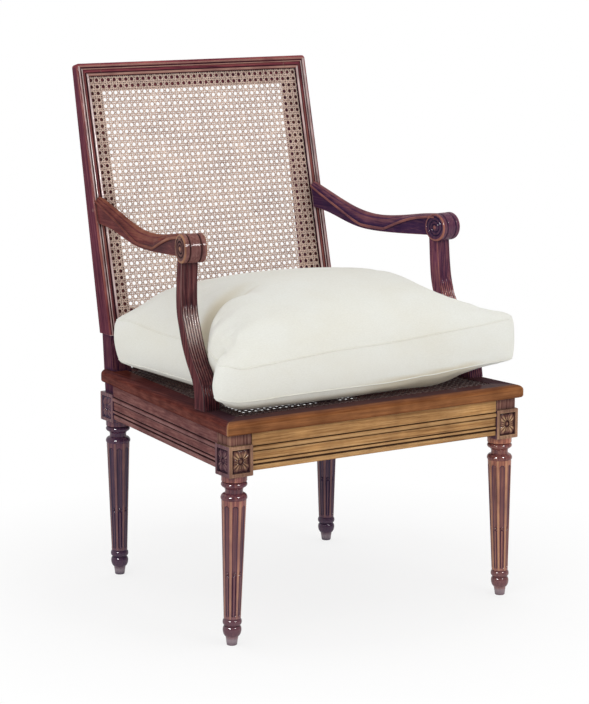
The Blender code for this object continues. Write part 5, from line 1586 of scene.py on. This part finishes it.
def reshaped(points):
    """Points of the cushion after its fold, its swells and its dips."""
    moved = points.copy()
    for middle, reach, push in MOVES:
        away = (((points - np.array(middle)) / np.array(reach)) ** 2).sum(axis=1)
        moved += np.exp(-away)[:, None] * np.array(push)
    nearest, distance, in_front = by_fold(points)
    depth, reach = fold_path()[1:]
    (lobe_x, lobe_y), (reach_x, reach_y), rise = LOBE
    away = ((points[:, 0] - lobe_x) / reach_x) ** 2 + ((points[:, 1] - lobe_y) / reach_y) ** 2
    upper = risen(points[:, 2] - CUSHION_BASE, *FOLD_FROM)
    moved[:, 2] += upper * rise * np.exp(-away) * smooth(in_front / LOBE_EDGE)
    fall = depth[nearest] * np.exp(-((distance / reach[nearest]) ** 1.5))
    swell = FOLD_SWELL * depth[nearest] * bell(distance - FOLD_BROW * reach[nearest], reach[nearest])
    moved[:, 2] += upper * (swell - fall)
    low = np.clip((points[:, 2] - CUSHION_BASE) / CUSHION_SEAM_BOTTOM, 0.0, 1.0)
    moved[:, 2] -= CUSHION_SEAM_BOTTOM * (low - low ** CUSHION_LOWER_FULLNESS)
    moved[:, 2] = np.maximum(moved[:, 2], CUSHION_BASE)
    return moved


def from_seams(points, seams):
    """Distance of each point from the nearest stitch of the seams."""
    stitches = KDTree(sum(len(seam) for seam in seams))
    for index, stitch in enumerate(np.vstack(seams)):
        stitches.insert(stitch, index)
    stitches.balance()
    return np.array([stitches.find(point)[2] for point in points])


def room_by_supports(points):
    """Distance of each point from the arm supports in plan."""
    (x0, y0), (x1, y1) = SUPPORT_KEEP_OUT
    beside = np.maximum(np.maximum(x0 - np.abs(points[:, 0]), np.abs(points[:, 0]) - x1), 0.0)
    ahead = np.maximum(np.maximum(y0 - points[:, 1], points[:, 1] - y1), 0.0)
    return np.hypot(beside, ahead)


def clear_of_supports(points):
    """Points of the cushion moved forward or inward out of the arm supports."""
    share = np.clip((points[:, 2] - SUPPORT_FOOT) / (SUPPORT_HEAD - SUPPORT_FOOT), 0.0, 1.0)
    middle_x = SUPPORT_BASE_CENTRE + (SCROLL_CENTRE - SUPPORT_BASE_CENTRE) * share
    middle_y = FRONT_LEG_Y + np.interp(share, np.linspace(0.0, 1.0, SUPPORT_STATIONS), SUPPORT_PATH)
    room = support_depth(share) / 2.0 + SUPPORT_ROOM
    ahead = points[:, 1] - middle_y + room
    behind = middle_y + room - points[:, 1]
    beside = np.abs(points[:, 0]) - middle_x + SUPPORT_WIDTH / 2.0 + SUPPORT_ROOM
    inside = (ahead > 0.0) & (behind > 0.0) & (beside > 0.0)
    forward = inside & (ahead < beside)
    inward = inside & ~forward
    moved = points.copy()
    moved[forward, 1] -= ahead[forward]
    moved[inward, 0] -= np.sign(points[inward, 0]) * beside[inward]
    return moved


def swelled(mesh, seams):
    """Points of the cushion after its filling pushes the cloth out between the sewn seams."""
    start = coordinates(mesh)
    blank = placed("cushion_blank", mesh)
    group = blank.vertex_groups.new(name="seams")
    group.add(np.flatnonzero(from_seams(start, seams) < SEAM_PIN).tolist(), 1.0, "REPLACE")
    cloth = blank.modifiers.new("cloth", "CLOTH")
    cloth.settings.use_pressure = True
    cloth.settings.uniform_pressure_force = CUSHION_PRESSURE
    cloth.settings.vertex_group_mass = group.name
    cloth.settings.effector_weights.gravity = 0.0
    cloth.collision_settings.use_collision = False
    scene = bpy.context.scene
    for number in range(1, CUSHION_FRAMES + 1):
        scene.frame_set(number)
    after = applied(blank)
    push = coordinates(after) - start
    scene.frame_set(1)
    bpy.data.objects.remove(blank, do_unlink=True)
    bpy.data.meshes.remove(after)
    cap = np.minimum(CUSHION_CAP, 0.6 * room_by_supports(start))
    length = np.maximum(np.linalg.norm(push, axis=1), 1e-9)
    return start + push * np.minimum(1.0, cap / length)[:, None]


def welt(name, loop):
    """Thin sewn welt along a closed loop."""
    ahead = np.roll(loop, -1, 0) - np.roll(loop, 1, 0)
    rings = []
    for place, direction in zip(loop, ahead):
        run = Vector(direction).normalized()
        side = run.cross(Vector((0.0, 0.0, 1.0))).normalized()
        up = side.cross(run)
        rings.append([Vector(place) + (side * math.cos(angle) + up * math.sin(angle)) * SEAM_RADIUS
                      for angle in np.linspace(0.0, 2.0 * math.pi, SEAM_SIDES, endpoint=False)])
    points, faces = skin(rings + rings[:1])
    return add(name, tidy_mesh(name, points, faces[:-2]), "cotton", "cushion")


def make_cushion():
    """The cushion's solid, remeshed, swelled as filled cloth, folded and welted."""
    blank = placed("cushion_blank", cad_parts["cushion"].data.copy())
    remesh = blank.modifiers.new("remesh", "REMESH")
    remesh.mode = "VOXEL"
    remesh.voxel_size = CUSHION_VOXEL
    mesh = applied(blank)
    bpy.data.objects.remove(blank, do_unlink=True)
    points = coordinates(mesh)
    tree = surface(points, mesh)
    seams = [snapped(seam_loop(rise), tree) for rise in (CUSHION_SEAM_BOTTOM, CUSHION_SEAM_TOP)]
    outward = vectors(mesh.vertex_normals, "vector")
    slack = smooth(from_seams(points, seams) / CUSHION_SHRINK_REACH)
    slack *= smooth(2.0 * np.abs(outward[:, 2]) - 0.5)
    points = points - CUSHION_SHRINK * slack[:, None] * outward
    mesh.vertices.foreach_set("co", points.ravel())
    points = swelled(mesh, seams)
    # The tones mark the painted shade by the fold and under the right front
    set_tones(mesh, painted_shade_of(points))
    points = clear_of_supports(reshaped(points))
    mesh.vertices.foreach_set("co", points.ravel())
    blank = placed("cushion_blank", mesh)
    ease = blank.modifiers.new("ease", "SMOOTH")
    ease.factor = 0.5
    ease.iterations = 3
    finer = blank.modifiers.new("finer", "SUBSURF")
    finer.levels = 1
    finer.render_levels = 1
    soft = applied(blank)
    bpy.data.objects.remove(blank, do_unlink=True)
    cushion = add("cushion_soft", soft, "cotton", "cushion", ("cushion",))
    tree = surface(coordinates(soft), soft)
    for name, loop in zip(("cushion_lower_welt", "cushion_upper_welt"), seams):
        welt(name, snapped(reshaped(loop), tree))


make_cushion()

# Finish of the solids that stay
for name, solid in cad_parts.items():
    if not solid.hide_render:
        solid.data.materials.clear()
        solid.data.materials.append(looks["peg"])

# Floor, light and camera; a lamp has a place, a size and a power
WHITE = (1.0, 1.0, 1.0, 1.0)
AMBIENT = 0.88
ROOM = 0.25
BACKDROP = (-0.30, 0.50)
LAMP_AIM = Vector((0.0, 0.0, 0.45))
KEY = ((0.9, -3.2, 2.6), 1.4, 16.0)
KEY_COLOUR = (1.0, 0.99, 0.97)
FILL = ((-2.6, -1.3, 1.7), 1.4, 8.0)
SPARK = ((0.48, -2.9, 2.24), 0.75, 150.0)
LEFT_SPARK = ((-2.42, -1.21, 1.61), 0.8, 150.0)
FLOOR_HALF = 40.0
FLOOR_TONE = 0.92
FLOOR_GLOW = 0.76
FLOOR_CLEAR = (0.40, 0.78)
TARGET = Vector((-0.0007, FRONT_LEG_Y + 0.2374, 0.4207))
CAMERA_AZIMUTH = math.radians(-32.5806)
CAMERA_ELEVATION = math.radians(10.4163)
CAMERA_DISTANCE = 4.2077
FOCAL_PIXELS = 2419.51
FRAME_HEIGHT = 704.0
SENSOR = 36.0


def seen_directly(tree):
    """1 for rays from the camera, mirrors and glass, 0 for light that falls on the chair."""
    path = node(tree, "ShaderNodeLightPath").outputs
    mirrored = math_node(tree, "MAXIMUM", path["Is Glossy Ray"], path["Is Transmission Ray"])
    return math_node(tree, "MAXIMUM", path["Is Camera Ray"], mirrored)


def make_world():
    """Even studio light; the polish mirrors a white backdrop behind the chair and a dim room before it."""
    world = bpy.data.worlds.new("studio")
    world.use_nodes = True
    tree = world.node_tree
    path = node(tree, "ShaderNodeLightPath").outputs
    direction = node(tree, "ShaderNodeTexCoord").outputs["Generated"]
    axes = node(tree, "ShaderNodeSeparateXYZ", {"Vector": direction}).outputs
    mirrored = spread(tree, axes["Y"], *BACKDROP, ROOM, 1.0)
    lit = node(tree, "ShaderNodeMix", {0: path["Is Glossy Ray"], 2: AMBIENT, 3: mirrored}).outputs[0]
    seen = math_node(tree, "MAXIMUM", path["Is Camera Ray"], path["Is Transmission Ray"])
    strength = node(tree, "ShaderNodeMix", {0: seen, 2: lit, 3: 1.0}).outputs[0]
    feed(tree, tree.nodes["Background"], {"Color": WHITE, "Strength": strength})
    bpy.context.scene.world = world


def make_floor():
    """Pale floor that keeps the chair's shadow and fades into the white background."""
    mesh = bpy.data.meshes.new("floor")
    shape = bmesh.new()
    bmesh.ops.create_grid(shape, x_segments=1, y_segments=1, size=FLOOR_HALF)
    shape.to_mesh(mesh)
    shape.free()
    floor = placed("floor", mesh)
    material = bpy.data.materials.new("pale_floor")
    material.use_nodes = True
    tree = material.node_tree
    tree.nodes.clear()
    place = node(tree, "ShaderNodeTexCoord").outputs["Object"]
    away = node(tree, "ShaderNodeVectorMath", {0: place}, operation="LENGTH").outputs["Value"]
    clear = spread(tree, away, *FLOOR_CLEAR, FLOOR_GLOW, 1.0)
    glow = math_node(tree, "MULTIPLY", clear, seen_directly(tree))
    matt = node(tree, "ShaderNodeBsdfDiffuse", {"Color": (FLOOR_TONE, FLOOR_TONE, FLOOR_TONE, 1.0)})
    white = node(tree, "ShaderNodeEmission", {"Color": WHITE, "Strength": 1.0})
    mixed = node(tree, "ShaderNodeMixShader", {0: glow, 1: matt.outputs[0], 2: white.outputs[0]})
    node(tree, "ShaderNodeOutputMaterial", {"Surface": mixed.outputs[0]})
    mesh.materials.append(material)


def make_lamp(name, place, size, power, colour=(1.0, 1.0, 1.0), only_polish=False):
    """Square lamp aimed at the chair, which may show only in its polish."""
    lamp = bpy.data.lights.new(name, "AREA")
    lamp.size = size
    lamp.energy = power
    lamp.color = colour
    holder = placed(name, lamp)
    holder.location = place
    holder.rotation_euler = (Vector(place) - LAMP_AIM).to_track_quat("Z", "Y").to_euler()
    holder.visible_diffuse = not only_polish


def make_camera():
    """Camera fitted to the photograph's perspective."""
    data = bpy.data.cameras.new("camera")
    data.sensor_width = SENSOR
    data.lens = FOCAL_PIXELS * SENSOR / FRAME_HEIGHT
    holder = placed("camera", data)
    back = Vector((math.sin(CAMERA_AZIMUTH) * math.cos(CAMERA_ELEVATION),
                   -math.cos(CAMERA_AZIMUTH) * math.cos(CAMERA_ELEVATION), math.sin(CAMERA_ELEVATION)))
    holder.location = TARGET + back * CAMERA_DISTANCE
    holder.rotation_euler = back.to_track_quat("Z", "Y").to_euler()
    bpy.context.scene.camera = holder


make_world()
make_floor()
make_lamp("key", *KEY, KEY_COLOUR)
make_lamp("fill", *FILL)
make_lamp("spark", *SPARK, only_polish=True)
make_lamp("left_spark", *LEFT_SPARK, only_polish=True)
make_camera()
bpy.context.scene.view_settings.view_transform = "Standard"
